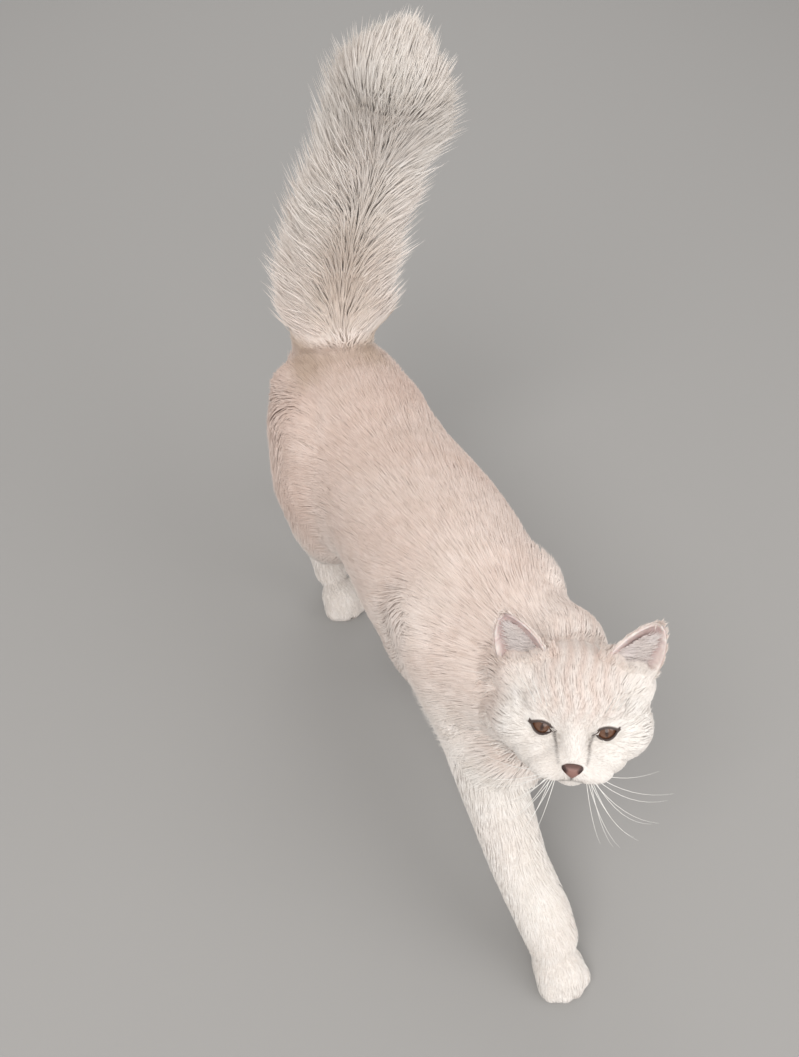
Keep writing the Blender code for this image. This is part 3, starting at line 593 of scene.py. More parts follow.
def coat_lie(points, normals, weight):
    """Unit directions along the skin in which the coat lies, from the nose back to the paws and tail."""
    run = unit(LIMBS.end - LIMBS.start)
    directions = np.zeros_like(points)
    for i, name in enumerate(LIMBS.names):
        if name != "head":
            follow, fixed = LIE["leg" if name.startswith("leg") else name]
            directions += weight[:, i : i + 1] * (follow * run[i] + np.array(fixed))
    directions[:, 0] += plume_lie(points, normals, weight)
    directions += LIMBS.weight_of(weight, "head")[:, None] * face_lie(points)
    directions -= normals * (directions * normals).sum(1, keepdims=True)
    return unit(directions)


# Depth of the head's coat: on the muzzle, gained towards the back, and added on cheeks, nape and chin.
MUZZLE_COAT, BACK_COAT, CHEEK_COAT, NAPE_COAT, CHIN_COAT = 0.0011, 0.0034, 0.0075, 0.006, 0.005
MUZZLE_END = (0.0, -0.016, -0.018)


def face_depth(points):
    """Depth of the coat on the head: velvet on the muzzle, deep on the cheeks."""
    local = to_head(points)
    from_nose = np.linalg.norm(local - np.array(MUZZLE_END), axis=1)
    depth = MUZZLE_COAT + BACK_COAT * smooth_step(0.014, 0.060, from_nose)
    cheek = smooth_step(0.024, 0.050, np.abs(local[:, 0])) * smooth_step(0.024, -0.004, local[:, 2])
    nape = smooth_step(0.035, 0.060, local[:, 1])
    chin = smooth_step(-0.030, -0.044, local[:, 2]) * smooth_step(-0.002, 0.010, local[:, 1])
    return depth + CHEEK_COAT * cheek + NAPE_COAT * nape + CHIN_COAT * chin


def coat_depth(points, weight, depth):
    """Depth of the coat: the limbs' own, and on the head that of the face."""
    head = LIMBS.weight_of(weight, "head")
    return depth * (1 - head) + face_depth(points) * head


def along_line(points, line):
    """How near each point on the front of the face lies to a short line, seen from the front, in metres."""
    line = np.array(line)[:, ::2]
    behind = points[:, 1] > 0.015
    points = np.where(behind[:, None], 1.0, points[:, ::2])
    best = np.full(len(points), 1.0)
    for near, far in zip(line, line[1:]):
        run = far - near
        share = np.clip(((points - near) @ run) / (run @ run), 0, 1)
        best = np.minimum(best, np.linalg.norm(points - near - share[:, None] * run, axis=1))
    return best


# How cream each part is to start with, and what it gains up the back, neck and legs or along the tail. The
# gain on the upper legs is partly painted shade on the haunches and shoulders.
CREAM_AND_SHADE_SHARES = {
    "trunk": (0.42, 0.48),
    "neck": (0.08, 0.56),
    "leg_hind": (0.12, 0.78),
    "leg_fore": (0.05, 0.34),
    "tail": (0.24, -0.20),
}
FACE_CREAM, CROWN_CREAM, STREAK_CREAM, PATCH_CREAM = 0.06, 0.30, 0.34, 0.07
CROWN_STREAK_WIDTH = 0.0085
# Painted shade in the plume's parting and in the crease at the tail's root, and where the crease lies.
PARTING_SHADE, PARTING_SPREAD = 0.38, 0.20
CREASE_SHADE, CREASE_HEIGHT, CREASE_WIDTH = 0.62, 0.246, 0.007
# Dark lines of the face: how dark, and how wide in metres.
TEAR_DARK, LIP_DARK, PHILTRUM_DARK, LID_DARK = 0.80, 0.50, 0.75, 0.95
LINE_WIDTH, PHILTRUM_WIDTH = 0.0009, 0.0010


def cream_and_shade_share(points, normals, weight, along):
    """How cream the coat is: most on the back and crown, least on the limbs, the face and the tail's tip,
    with painted shade as extra cream on the haunches and shoulders.
    """
    upward = smooth_step(-0.55, 0.55, normals[:, 2])
    # Painted shade: the trunk grows creamer towards the tail, which darkens the haunches.
    rear_shade = smooth_step(-0.12, 0.12, points[:, 1])
    more_where = {
        "neck": upward,
        "leg_hind": smooth_step(0.06, 0.17, points[:, 2]),
        "leg_fore": smooth_step(0.13, 0.20, points[:, 2]),
        "tail": smooth_step(0.30, 0.85, along),
    }
    least, more = CREAM_AND_SHADE_SHARES["trunk"]
    warm = LIMBS.weight_of(weight, "trunk") * (least + more * upward) * (0.78 + 0.22 * rear_shade)
    for part, where in more_where.items():
        least, more = CREAM_AND_SHADE_SHARES[part]
        warm += LIMBS.weight_of(weight, part) * (least + more * where)
    local = to_head(points)
    crown = smooth_step(-0.004, 0.020, local[:, 2]) * smooth_step(0.040, 0.012, np.abs(local[:, 0]))
    wander = 1.4 * np.sin(260 * local[:, 2])
    streaks = 0.5 + 0.5 * np.sin(2 * math.pi * local[:, 0] / CROWN_STREAK_WIDTH + wander)
    warm += LIMBS.weight_of(weight, "head") * (FACE_CREAM + crown * (CROWN_CREAM + STREAK_CREAM * streaks))
    patches = np.sin(46 * points[:, 0] + 3.1 * np.sin(31 * points[:, 1])) * np.sin(52 * points[:, 2] + 2.0)
    return np.clip(warm + PATCH_CREAM * patches, 0, 1)[:, None]


def tail_shade(points, normals, weight, along):
    """How much painted shade the tail gets, in the parting down the plume's front and in the crease at its
    root.
    """
    stripe = np.exp(-(((normals[:, 0] - PARTING_AT) / PARTING_SPREAD) ** 2)) * (normals[:, 1] < 0)
    parting = LIMBS.weight_of(weight, "tail") * stripe * smooth_step(0.10, 0.25, along)
    parting *= smooth_step(0.75, 0.40, along) * PARTING_SHADE
    height = (points[:, 2] - CREASE_HEIGHT) / CREASE_WIDTH
    crease = CREASE_SHADE * np.exp(-(height**2)) * (points[:, 1] > 0.13)
    return np.clip(parting + crease, 0, 1)[:, None]


def lid_rim(points, side):
    """How dark the skin is along the edges of the lids."""
    eye = to_eye(points, side)
    share = np.clip(1 - (eye[:, 0] / (EYE_OPENING / 2 + 0.0006)) ** 2, 0, 1)
    over = np.maximum(eye[:, 2] - UPPER_ARC * share, -LOWER_ARC * share - eye[:, 2])
    beyond = np.abs(eye[:, 0]) - (EYE_OPENING / 2 + 0.0012)
    edge = np.maximum(over, beyond)
    near = (eye[:, 1] < 0) & (np.abs(eye[:, 0]) < 0.016) & (np.abs(eye[:, 2]) < 0.012)
    return np.where(near, smooth_step(0.0021, 0.0011, edge), 0) * LID_DARK


def dark_lines(points, lids):
    """How dark the lines of the face are: below the eyes' inner corners, on the lips and, if asked, lids."""
    local = to_head(points)
    fade = smooth_step(-0.018, -0.004, local[:, 2])
    dark = np.zeros(len(points))
    for side in (1, -1):
        tear = along_line(local, mirrored(TEAR_LINE, side))
        dark = np.maximum(dark, TEAR_DARK * np.exp(-((tear / LINE_WIDTH) ** 2)) * (0.50 + 0.50 * fade))
        if lids:
            dark = np.maximum(dark, lid_rim(points, side))
        lip = along_line(local, mirrored(LIP_LINE, side))
        dark = np.maximum(dark, LIP_DARK * np.exp(-((lip / LINE_WIDTH) ** 2)))
    below_nose = along_line(local, PHILTRUM)
    dark = np.maximum(dark, PHILTRUM_DARK * np.exp(-((below_nose / PHILTRUM_WIDTH) ** 2)))
    return dark[:, None]


def coat_colour(points, normals, lids=False):
    """The marked colours and painted shade, alike for skin and coat: cream above, paler below, on the limbs,
    face and tail's tip.
    """
    weight, along = LIMBS.read(points)[::2]
    cream = cream_and_shade_share(points, normals, weight, along)
    shade = tail_shade(points, normals, weight, along)
    dark = dark_lines(points, lids)
    colour = PALE * (1 - cream) + CREAM * cream
    # Painted shade in the plume's parting and in the crease at the tail's root.
    colour = colour * (1 - shade) + SHADE * shade
    return np.clip(colour * (1 - dark) + RIM_BROWN * dark, 0, 1)


def paint(made, colours):
    """Stores one colour for each point of the mesh."""
    # The layer holds the marked colours and, on skin and coat, painted shade.
    layer = made.data.color_attributes.new("markings_and_shade", "FLOAT_COLOR", "POINT")
    flat = np.ones((len(colours), 4), dtype=np.float32)
    flat[:, :3] = colours
    layer.data.foreach_set("color", flat.ravel())


def mesh_arrays(made):
    """Points, point normals and triangles of a mesh."""
    mesh = made.data
    mesh.calc_loop_triangles()
    points = np.empty(len(mesh.vertices) * 3)
    mesh.vertices.foreach_get("co", points)
    normals = np.empty(len(mesh.vertices) * 3)
    mesh.vertices.foreach_get("normal", normals)
    faces = np.empty(len(mesh.loop_triangles) * 3, dtype=np.int64)
    mesh.loop_triangles.foreach_get("vertices", faces)
    return points.reshape(-1, 3), normals.reshape(-1, 3), faces.reshape(-1, 3)


def scatter(points, normals, faces, density, count, chance):
    """Random roots on triangles, as many to a given area as the density there asks for."""
    corners = points[faces]
    area = np.linalg.norm(np.cross(corners[:, 1] - corners[:, 0], corners[:, 2] - corners[:, 0]), axis=1)
    weight = area * density
    chosen = chance.choice(len(faces), size=count, p=weight / weight.sum())
    a, b = chance.random((2, count))
    fold = a + b > 1
    a, b = np.where(fold, 1 - a, a), np.where(fold, 1 - b, b)
    shares = np.stack((1 - a - b, a, b), axis=1)[..., None]
    roots = (corners[chosen] * shares).sum(1)
    outward = unit((normals[faces[chosen]] * shares).sum(1))
    return roots, outward


def nearest_on(surface, points):
    """The nearest points of a surface, and its outward directions there."""
    spots, outward = np.empty_like(points), np.empty_like(points)
    for i, point in enumerate(points):
        spot, normal = surface.find_nearest(point)[:2]
        spots[i], outward[i] = spot, normal
    return spots, outward


# Reach of a lock, and how far its tufts lean from their roots towards its middle.
LOCK_REACH, LOCK_LEAN = 0.014, 0.75


def gather(roots, rings, chance, pull, every):
    """Draws the tips of neighbouring tufts together into locks."""
    leaders = chance.choice(len(roots), size=max(1, len(roots) // every), replace=False)
    tree = KDTree(len(leaders))
    for i, leader in enumerate(leaders):
        tree.insert(roots[leader], i)
    tree.balance()
    found = [tree.find(root) for root in roots]
    leader = leaders[[hit[1] for hit in found]]
    near = np.array([hit[2] for hit in found]) < LOCK_REACH
    strength = np.where(near, pull * chance.uniform(0.6, 1.0, len(roots)), 0)
    offset = rings[leader] - roots[leader][:, None] - rings + roots[:, None]
    toward = (roots[leader] - roots)[:, None] * LOCK_LEAN
    rings += (offset + toward) * strength[:, None, None] * np.array(TUFT_SHARES)[None, :, None] ** 1.5


# A tuft has two rings and a tip: where they stand along it, and how wide the rings are.
TUFT_SHARES = (0.0, 0.50, 1.0)
RING_WIDTHS = (0.80, 1.0)
# Height of a tuft's ridge as a share of its half width: flat on the body, rounder on the tail and the ears.
FLAT_RIDGE, ROUND_RIDGE = 0.45, 1.10
# Each tuft's patch on the unwrapped sheet, and the part of the sheet over which the patches' corners spread.
PATCH_SIZE, SHEET_SPAN = 0.003, 0.991
# Painted shade along each tuft: its tone at the root, where the fur shades itself, and what it gains by its
# tip.
ROOT_SHADE_TONE, TIP_SHADE_LIFT = 0.93, 0.09
LOWEST_HAIR = 0.0004


def tuft_faces(rings):
    """Triangles of one tuft: rings of three points, a closed root and a pointed tip."""
    faces = [(0, 1, 2)]
    for ring in range(rings - 1):
        for i in range(3):
            j = (i + 1) % 3
            a, b, c, d = 3 * ring + i, 3 * ring + j, 3 * ring + 3 + i, 3 * ring + 3 + j
            faces += [(a, d, b), (a, c, d)]
    last = 3 * rings - 3
    faces += [(last + (i + 1) % 3, last + i, last + 3) for i in range(3)]
    return np.array(faces)


def tuft_mesh(name, rings, outward, widths, ridges, colours, sheet):
    """Joins all tufts into one mesh. Each is a ridged blade along its ring centres."""
    count, each = len(rings), 3 * len(RING_WIDTHS) + 1
    ahead = unit(np.diff(rings, axis=1))
    across = unit(np.cross(ahead, outward[:, None]))
    up = unit(np.cross(across, ahead))
    points = np.empty((count, each, 3))
    for ring, share in enumerate(RING_WIDTHS):
        half = (widths * share / 2)[:, None]
        centre = rings[:, ring]
        points[:, 3 * ring] = centre - across[:, ring] * half
        points[:, 3 * ring + 1] = centre + across[:, ring] * half
        points[:, 3 * ring + 2] = centre + up[:, ring] * half * ridges
    points[:, -1] = rings[:, -1]
    points[..., 2] = np.maximum(points[..., 2], LOWEST_HAIR)
    pattern = tuft_faces(len(RING_WIDTHS))
    faces = (pattern[None] + each * np.arange(count)[:, None, None]).reshape(-1, 3)
    mesh = bpy.data.meshes.new(name)
    mesh.vertices.add(count * each)
    mesh.vertices.foreach_set("co", points.astype(np.float32).ravel())
    mesh.loops.add(len(faces) * 3)
    mesh.loops.foreach_set("vertex_index", faces.astype(np.int32).ravel())
    mesh.polygons.add(len(faces))
    mesh.polygons.foreach_set("loop_start", np.arange(0, len(faces) * 3, 3, dtype=np.int32))
    mesh.update(calc_edges=True)
    mesh.validate()
    mesh.shade_flat()
    made = bpy.data.objects.new(name, mesh)
    bpy.context.scene.collection.objects.link(made)
    rise = np.append(np.repeat(TUFT_SHARES[:-1], 3), 1.0)
    # Painted shade: each tuft is darkest at its root and lightens towards its tip.
    shading = ROOT_SHADE_TONE + TIP_SHADE_LIFT * rise
    tints = np.repeat(colours, [3] * len(RING_WIDTHS) + [1], axis=1)
    paint(made, np.clip(tints * shading[None, :, None], 0, 1).reshape(-1, 3))
    side = np.array((0, 1, 0.5) * len(RING_WIDTHS) + (0.5,))
    patch = PATCH_SIZE * np.stack((side, rise), axis=1)
    spread = PATCH_SIZE + SHEET_SPAN * np.clip(sheet, 0, 1)
    flat = (spread[:, None] + patch[None]).reshape(-1, 2)
    layer = mesh.uv_layers.new(name="OFBake")
    layer.uv.foreach_set("vector", flat[faces.ravel()].astype(np.float32).ravel())
    return made


def unwrap(points, name):
    """Where each point lies on a flat sheet wound round its own limb: angle round it and share along it."""
    if name == "head":
        local = unit(to_head(points) - np.array((0, 0.025, -0.005)))
        angle = np.arctan2(local[:, 0], -local[:, 1]) / (2 * math.pi) + 0.5
        return np.stack((angle, local[:, 2] / 2 + 0.5), axis=1)
    chosen = [i for i, limb in enumerate(LIMBS.names) if limb.startswith(name)]
    start, end = LIMBS.start[chosen], LIMBS.end[chosen]
    run = end - start
    offset = points[:, None] - start[None]
    share = np.clip((offset * run).sum(-1) / (run * run).sum(-1), 0, 1)
    away = offset - share[..., None] * run
    best = np.linalg.norm(away, axis=-1).argmin(1)
    rows = np.arange(len(points))
    axis = unit(run)[best]
    side = unit(np.array((1.0, 0, 0)) - axis * axis[:, :1])
    front = np.cross(axis, side)
    radial = away[rows, best]
    angle = np.arctan2((radial * front).sum(1), (radial * side).sum(1)) / (2 * math.pi) + 0.5
    return np.stack((angle, (best + share[rows, best]) / len(chosen)), axis=1)


# Coat pieces: the limb each covers, where along Y or along the limb it starts and ends, and how many tufts.
COAT_PIECES = {
    "coat_face": ("head", (-1.0, 0.020), 14000),
    "coat_skull": ("head", (0.020, 1.0), 10000),
    "coat_neck": ("neck", (-1.0, 1.0), 16500),
    "coat_shoulders": ("trunk", (-1.0, -0.045), 16000),
    "coat_flanks": ("trunk", (-0.045, 0.060), 17000),
    "coat_haunches": ("trunk", (0.060, 1.0), 16500),
    "coat_forelegs": ("leg_fore", (-1.0, 1.0), 14000),
    "coat_hind_legs": ("leg_hind", (-1.0, 1.0), 16000),
    "coat_tail_root": ("tail", (-1.0, 0.42), 12000),
    "coat_tail_plume": ("tail", (0.42, 1.01), 19000),
}

# How strongly neighbouring tufts draw together, and how many make a lock.
CLUMPING = {"head": (0.22, 8), "tail": (0.30, 10), "leg_fore": (0.16, 8), "leg_hind": (0.20, 8)}
BODY_CLUMPING = (0.26, 10)


def piece_mask(limb, span, points, along, kinds):
    """Which points belong to a limb and to one stretch of it."""
    mine = np.isin(kinds, [i for i, kind in enumerate(LIMBS.kinds) if kind.startswith(limb)])
    if limb == "head":
        place = to_head(points)[:, 1]
    elif limb == "tail":
        place = along
    else:
        place = points[:, 1]
    return mine & (place >= span[0]) & (place < span[1])


def bare(points):
    """Where no tuft grows: between and on the edges of the lids, on the nose leather and under the soles."""
    found = points[:, 2] < 0.0015
    for side in (1, -1):
        eye = to_eye(points, side)
        share = np.clip(1 - (eye[:, 0] / (EYE_OPENING / 2 + 0.0010)) ** 2, 0, 1)
        inside = (eye[:, 2] < UPPER_ARC * share + 0.0013) & (eye[:, 2] > -LOWER_ARC * share - 0.0013)
        found |= inside & (np.abs(eye[:, 0]) < EYE_OPENING / 2 + 0.0014) & (eye[:, 1] < 0)
    off = to_head(points) - np.array(NOSE_PLACE)
    narrow = NOSE_NARROW + NOSE_TAPER * np.clip(off[:, 2:] / NOSE_SIZE.z, -1, 1)
    nose = off / (np.array(NOSE_SIZE) * np.hstack((narrow, np.ones((len(off), 2)))) + GAP)
    return found | ((nose * nose).sum(1) < 1)


# A tuft's length at no depth of coat and for each metre of it, and how far its root is sunk.
HAIR_SHORTEST, HAIR_PER_DEPTH, ROOT_SUNK = 0.0014, 2.30, 0.0004
# Its width at no length, its width for each metre of length, and the least and greatest width.
HAIR_WIDTH, WIDTH_PER_LENGTH, WIDTH_LIMITS = 0.00045, 0.028, (0.0006, 0.0014)
# On the plume: how much shorter hair is, and at its tip, the share of long hairs and how much they gain.
PLUME_SHORTER, TIP_SHORTER, WISP_SHARE, WISP_LONGER = 0.36, 0.40, 0.09, 0.30
# How much lower the plume's hair stands at its sides and how much higher at its tip.
SIDE_LOWER, TIP_HIGHER = 0.80, 0.14
# How far it leans outwards: everywhere, at the sides, more so where it is long, and on the end of the tail.
PLUME_LEAN, SIDE_LEAN, WISP_LEAN, END_LEAN = 0.08, 0.36, 0.4, 0.9
# How far hair strays sideways from its lie, how much more on the plume, and by how much its tone varies.
STRAY, PLUME_STRAY, TONE_CHANGE = 0.11, 0.8, 0.025


def lay_rings(roots, outward, lie, length, height, plume, surface):
    """Middles of each tuft's rings and its tip: laid along the skin on the body, free of it on the plume."""
    rings = np.empty((len(roots), len(TUFT_SHARES), 3))
    rings[:, 0] = roots - outward * (ROOT_SUNK + 0.04 * height)[:, None]
    for ring, share in enumerate(TUFT_SHARES[1:], start=1):
        straight = roots + lie * (length * share)[:, None]
        spots, there = nearest_on(surface, straight)
        lying = spots + there * (height * share * (1.55 - 0.55 * share))[:, None]
        rise = outward * (height * share * (1.50 - 0.50 * share))[:, None]
        rings[:, ring] = lying * (1 - plume) + (straight + rise) * plume
    return rings


def coat_piece(name, surface, arrays, chance):
    """The tufts of one stretch of the coat, rooted on the skin and laid along it."""
    points, normals, faces = arrays
    limb, span, count = COAT_PIECES[name]
    centres = points[faces].mean(1)
    weight, depth, along, kinds = LIMBS.read(centres)
    depth = coat_depth(centres, weight, depth)
    mine = piece_mask(limb, span, centres, along, kinds) & ~bare(centres)
    density = 1 / (0.0035 + depth[mine])
    roots, outward = scatter(points, normals, faces[mine], density, count, chance)
    weight, depth, along = LIMBS.read(roots)[:3]
    depth = coat_depth(roots, weight, depth)
    lie = coat_lie(roots, outward, weight)
    tail = LIMBS.weight_of(weight, "tail")[:, None]
    plume = tail * smooth_step(-0.10, 0.16, along)[:, None] * (limb == "tail")
    tip = plume[:, 0] * smooth_step(0.72, 0.98, along)
    length = (HAIR_SHORTEST + HAIR_PER_DEPTH * depth) * chance.uniform(0.75, 1.12, count)
    wisp = (chance.random((count, 1)) < WISP_SHARE) * plume
    length *= (1 - PLUME_SHORTER * plume[:, 0]) * (1 - TIP_SHORTER * tip) * (1 + WISP_LONGER * wisp[:, 0])
    height = (1 - SKIN_SHARE) * depth * chance.uniform(0.78, 1.06, count)
    beside = plume * np.abs(outward[:, :1])
    height *= 1 - SIDE_LOWER * beside[:, 0] + TIP_HIGHER * tip
    stray = unit(np.cross(outward, lie)) * chance.normal(0, STRAY, count)[:, None] * (1 + PLUME_STRAY * plume)
    end = plume * smooth_step(0.60, 0.98, outward @ LIMBS.tail_end())[:, None]
    lean = PLUME_LEAN * plume + (SIDE_LEAN + WISP_LEAN * wisp) * beside + END_LEAN * end
    lie = unit(lie + stray + outward * lean)
    rings = lay_rings(roots, outward, lie, length, height, plume, surface)
    gather(roots, rings, chance, *CLUMPING.get(limb, BODY_CLUMPING))
    widths = np.clip(HAIR_WIDTH + WIDTH_PER_LENGTH * length, *WIDTH_LIMITS) * chance.uniform(0.8, 1.2, count)
    tone = chance.normal(1.0, TONE_CHANGE, (count, 1))
    colours = np.stack([coat_colour(rings[:, i], outward) * tone for i in range(len(TUFT_SHARES))], axis=1)
    ridges = FLAT_RIDGE + (ROUND_RIDGE - FLAT_RIDGE) * plume
    return tuft_mesh(name, rings, outward, widths, ridges, colours, unwrap(roots, limb))


def ear_half_width(up):
    """Half width of the ear as a share of its base's, which closes in a rounded tip."""
    return 0.06 + 0.98 * (1 - np.clip(up, 0.0, 1.0) ** 2.1) ** 0.72


def ear_grid(side, columns, rows):
    """The ear's sheet: a cupped leaf open to the front with a rounded tip."""
    bm = bmesh.new()
    made = bmesh.ops.create_grid(bm, x_segments=columns, y_segments=rows, size=1)
    middle = (EAR_INNER + EAR_OUTER) / 2
    half = (EAR_OUTER - EAR_INNER) / 2
    rise = EAR_TIP - middle
    back = half.cross(rise).normalized() * -1
    for vert in made["verts"]:
        across, up = vert.co.x, (vert.co.y + 1) / 2 * (1 + EAR_SUNK) - EAR_SUNK
        narrow = ear_half_width(up)
        cup = EAR_CUP * (1 - across * across) * (1 - 0.75 * max(up, 0.0))
        roll = 0.0035 * across * across * (1 - max(up, 0.0))
        point = middle + rise * up + half * across * narrow + back * (cup - roll)
        vert.co = Vector((point.x * side, point.y, point.z))
    bmesh.ops.recalc_face_normals(bm, faces=bm.faces)
    return bm


def ear(name, side):
    """One ear: a thin cup, pink inside and pale along its rim."""
    bm = ear_grid(side, 26, 22)
    bmesh.ops.solidify(bm, geom=bm.faces[:], thickness=EAR_THICKNESS)
    bmesh.ops.transform(bm, matrix=HEAD, verts=bm.verts)
    made = new_object(name, bm)
    points, normals = mesh_arrays(made)[:2]
    local = to_head(points)
    inner = smooth_step(0.10, -0.45, to_head(points + normals)[:, 1] - local[:, 1])
    middle, tip = (EAR_INNER + EAR_OUTER) / 2, EAR_TIP
    axis = np.array(((tip.x - middle.x) * side, tip.y - middle.y, tip.z - middle.z))
    base = np.array((middle.x * side, middle.y, middle.z))
    up = ((local - base) @ axis) / (axis @ axis)
    half = np.linalg.norm(np.array(EAR_OUTER - EAR_INNER)) / 2
    span = half * ear_half_width(up)
    off = np.linalg.norm(local - base - up[:, None] * axis, axis=1) / span
    edge = smooth_step(0.72, 0.96, off)
    pink = (inner * (1 - edge))[:, None]
    paint(made, EAR_RIM * (1 - pink) + EAR_PINK * pink)
    return made


# Tufts on each ear's back, long hairs in its cup and tufts of its collar, with their widths.
BACK_TUFTS, CUP_HAIRS, COLLAR_TUFTS = 1800, 640, 700
FUR_WIDTH, CUP_HAIR_WIDTH = 0.0008, 0.00042


def ear_back(side, sheet, chance):
    """Short fur on the back and rim of one ear, laid towards its tip."""
    points, normals, faces = mesh_arrays(sheet)
    facing = to_head(points + normals) - to_head(points)
    back = facing[faces].mean(1)[:, 1] > -0.15
    roots, outward = scatter(points, normals, faces[back], np.ones(back.sum()), BACK_TUFTS, chance)
    up = head_vectors(np.array(((EAR_TIP.x - 0.034) * side, 0.0, 0.030))[None])[0]
    lie = unit(up - outward * (outward @ up)[:, None] + chance.normal(0, 0.003, roots.shape))
    length = chance.uniform(0.0035, 0.0065, len(roots))
    spine = [roots + lie * (length * s)[:, None] + outward * (0.0009 * s) for s in TUFT_SHARES]
    return np.stack(spine, axis=1), outward


def ear_inside(side, chance):
    """Long hairs rooted along the ear's inner edge, which sweep outwards across the opening."""
    share = chance.random(CUP_HAIRS) ** 1.4 * 0.72
    inner, outer, tip = np.array(EAR_INNER), np.array(EAR_OUTER), np.array(EAR_TIP)
    root = inner + (tip - inner) * share[:, None]
    root += (outer - inner) * chance.uniform(0.02, 0.52, CUP_HAIRS)[:, None] * (1 - share[:, None])
    root[:, 1] += 0.0045 * (1 - share)
    sweep = unit(outer - inner)[None] + np.array((0.0, -0.10, 0.30))
    sweep = unit(sweep + chance.normal(0, 0.16, (CUP_HAIRS, 3)))
    length = (0.017 - 0.012 * share) * chance.uniform(0.7, 1.2, CUP_HAIRS)
    spine = []
    for s in TUFT_SHARES:
        point = root + sweep * (length * s)[:, None]
        point[:, 1] -= 0.0035 * s * (1 - s) * 2
        point[:, 2] += 0.0030 * s * s
        point[:, 0] *= side
        spine.append(point)
    outward = np.tile(head_vectors(np.array(((0.0, -1.0, 0.2),)))[0], (CUP_HAIRS, 1))
    return moved(np.stack(spine, axis=1), HEAD), unit(outward)


def ear_collar(side, surface, chance):
    """Fur on the skull round the ear's base, which stands up against the ear and hides where it starts."""
    turn = chance.uniform(0, 2 * math.pi, COLLAR_TUFTS)
    inner, outer, tip = np.array(EAR_INNER), np.array(EAR_OUTER), np.array(EAR_TIP)
    spread = chance.uniform(0.85, 1.15, COLLAR_TUFTS)
    root = (inner + outer) / 2 + (outer - inner) * (0.60 * spread * np.cos(turn))[:, None]
    root[:, 1] -= 0.0080 * spread * np.sin(turn)
    root[:, 0] *= side
    spots, outward = nearest_on(surface, moved(root, HEAD))
    rise = tip - (inner + outer) / 2
    rise = unit(head_vectors(np.array(((rise[0] * side, rise[1], rise[2]),))))
    lie = unit(0.9 * rise + 0.30 * outward + chance.normal(0, 0.16, (COLLAR_TUFTS, 3)))
    length = chance.uniform(0.0045, 0.0085, COLLAR_TUFTS)[:, None]
    curl = outward * length * 0.12
    spine = [spots + lie * length * s + curl * s * (1 - s) - outward * ROOT_SUNK for s in TUFT_SHARES]
    return np.stack(spine, axis=1), outward


def ear_coat(name, sheets, surface, chance):
    """The ears' fur: short on backs and rims, long and pale across the openings, and a collar at the base."""
    rings, outs, widths, colours = [], [], [], []
    for side, sheet in sheets.items():
        back, inside = ear_back(side, sheet, chance), ear_inside(side, chance)
        collar = ear_collar(side, surface, chance)
        marked = coat_colour(collar[0][:, 0], collar[1])
        kinds = ((back, FUR_WIDTH, EAR_RIM), (inside, CUP_HAIR_WIDTH, EAR_HAIR), (collar, FUR_WIDTH, marked))
        for (spines, outward), width, tint in kinds:
            rings.append(spines)
            outs.append(outward)
            widths.append(np.full(len(spines), width))
            colours.append(np.broadcast_to(tint, (len(spines), 3)))
    rings, outs = np.concatenate(rings), np.concatenate(outs)
    tint = np.concatenate(colours) * chance.normal(1.0, 0.03, len(rings))[:, None]
    tint = np.repeat(tint[:, None], len(TUFT_SHARES), axis=1)
    sheet = unwrap(rings[:, 0], "head")
    return tuft_mesh(name, rings, outs, np.concatenate(widths), ROUND_RIDGE, tint, sheet)


# Whiskers in the head's frame, for the left side: root, tip and sag.
WHISKERS = (
    ((0.0130, -0.0150, -0.0225), (0.0640, -0.0120, -0.0330), 0.006),
    ((0.0140, -0.0140, -0.0240), (0.0620, -0.0060, -0.0420), 0.007),
    ((0.0125, -0.0155, -0.0250), (0.0560, -0.0200, -0.0500), 0.007),
    ((0.0145, -0.0130, -0.0262), (0.0540, -0.0080, -0.0590), 0.008),
    ((0.0115, -0.0158, -0.0268), (0.0440, -0.0260, -0.0600), 0.007),
    ((0.0135, -0.0140, -0.0280), (0.0430, -0.0140, -0.0660), 0.007),
    ((0.0105, -0.0160, -0.0285), (0.0330, -0.0300, -0.0640), 0.006),
    ((0.0125, -0.0140, -0.0295), (0.0300, -0.0210, -0.0700), 0.006),
    ((0.0150, -0.0120, -0.0235), (0.0560, 0.0030, -0.0270), 0.004),
    ((0.0095, -0.0160, -0.0298), (0.0210, -0.0280, -0.0640), 0.005),
)
BROW_HAIRS = (
    ((0.0210, -0.0020, 0.0130), (0.0330, -0.0140, 0.0400), -0.004),
    ((0.0240, 0.0000, 0.0125), (0.0400, -0.0080, 0.0360), -0.004),
    ((0.0180, -0.0030, 0.0125), (0.0250, -0.0180, 0.0370), -0.003),
)
WHISKER_RADIUS, WHISKER_TAPER, WHISKER_RINGS = 0.00026, 0.85, 9


def hair(bm, root, tip, sag, radius):
    """One whisker, which sags in its middle and thins to its tip."""
    rings = []
    for share in np.linspace(0, 1, WHISKER_RINGS):
        point = root.lerp(tip, share)
        point.z += sag * 4 * share * (1 - share)
        thickness = radius * (1 - WHISKER_TAPER * share)
        rings.append((HEAD @ point, thickness, thickness))
    loft(bm, rings, 5, side=HEAD.to_3x3() @ Vector((0.2, 0.4, 1)))


def whiskers(surface):
    """All whiskers and brow hairs, rooted on the skin on both sides."""
    bm = bmesh.new()
    for side in (1, -1):
        for root, tip, sag in WHISKERS + BROW_HAIRS:
            root, tip = Vector(mirrored([root], side)[0]), Vector(mirrored([tip], side)[0])
            spot, normal = surface.find_nearest(HEAD @ root)[:2]
            hair(bm, HEAD.inverted() @ (spot - normal * 0.0008), tip, -sag, WHISKER_RADIUS)
    return new_object("whiskers", bm)


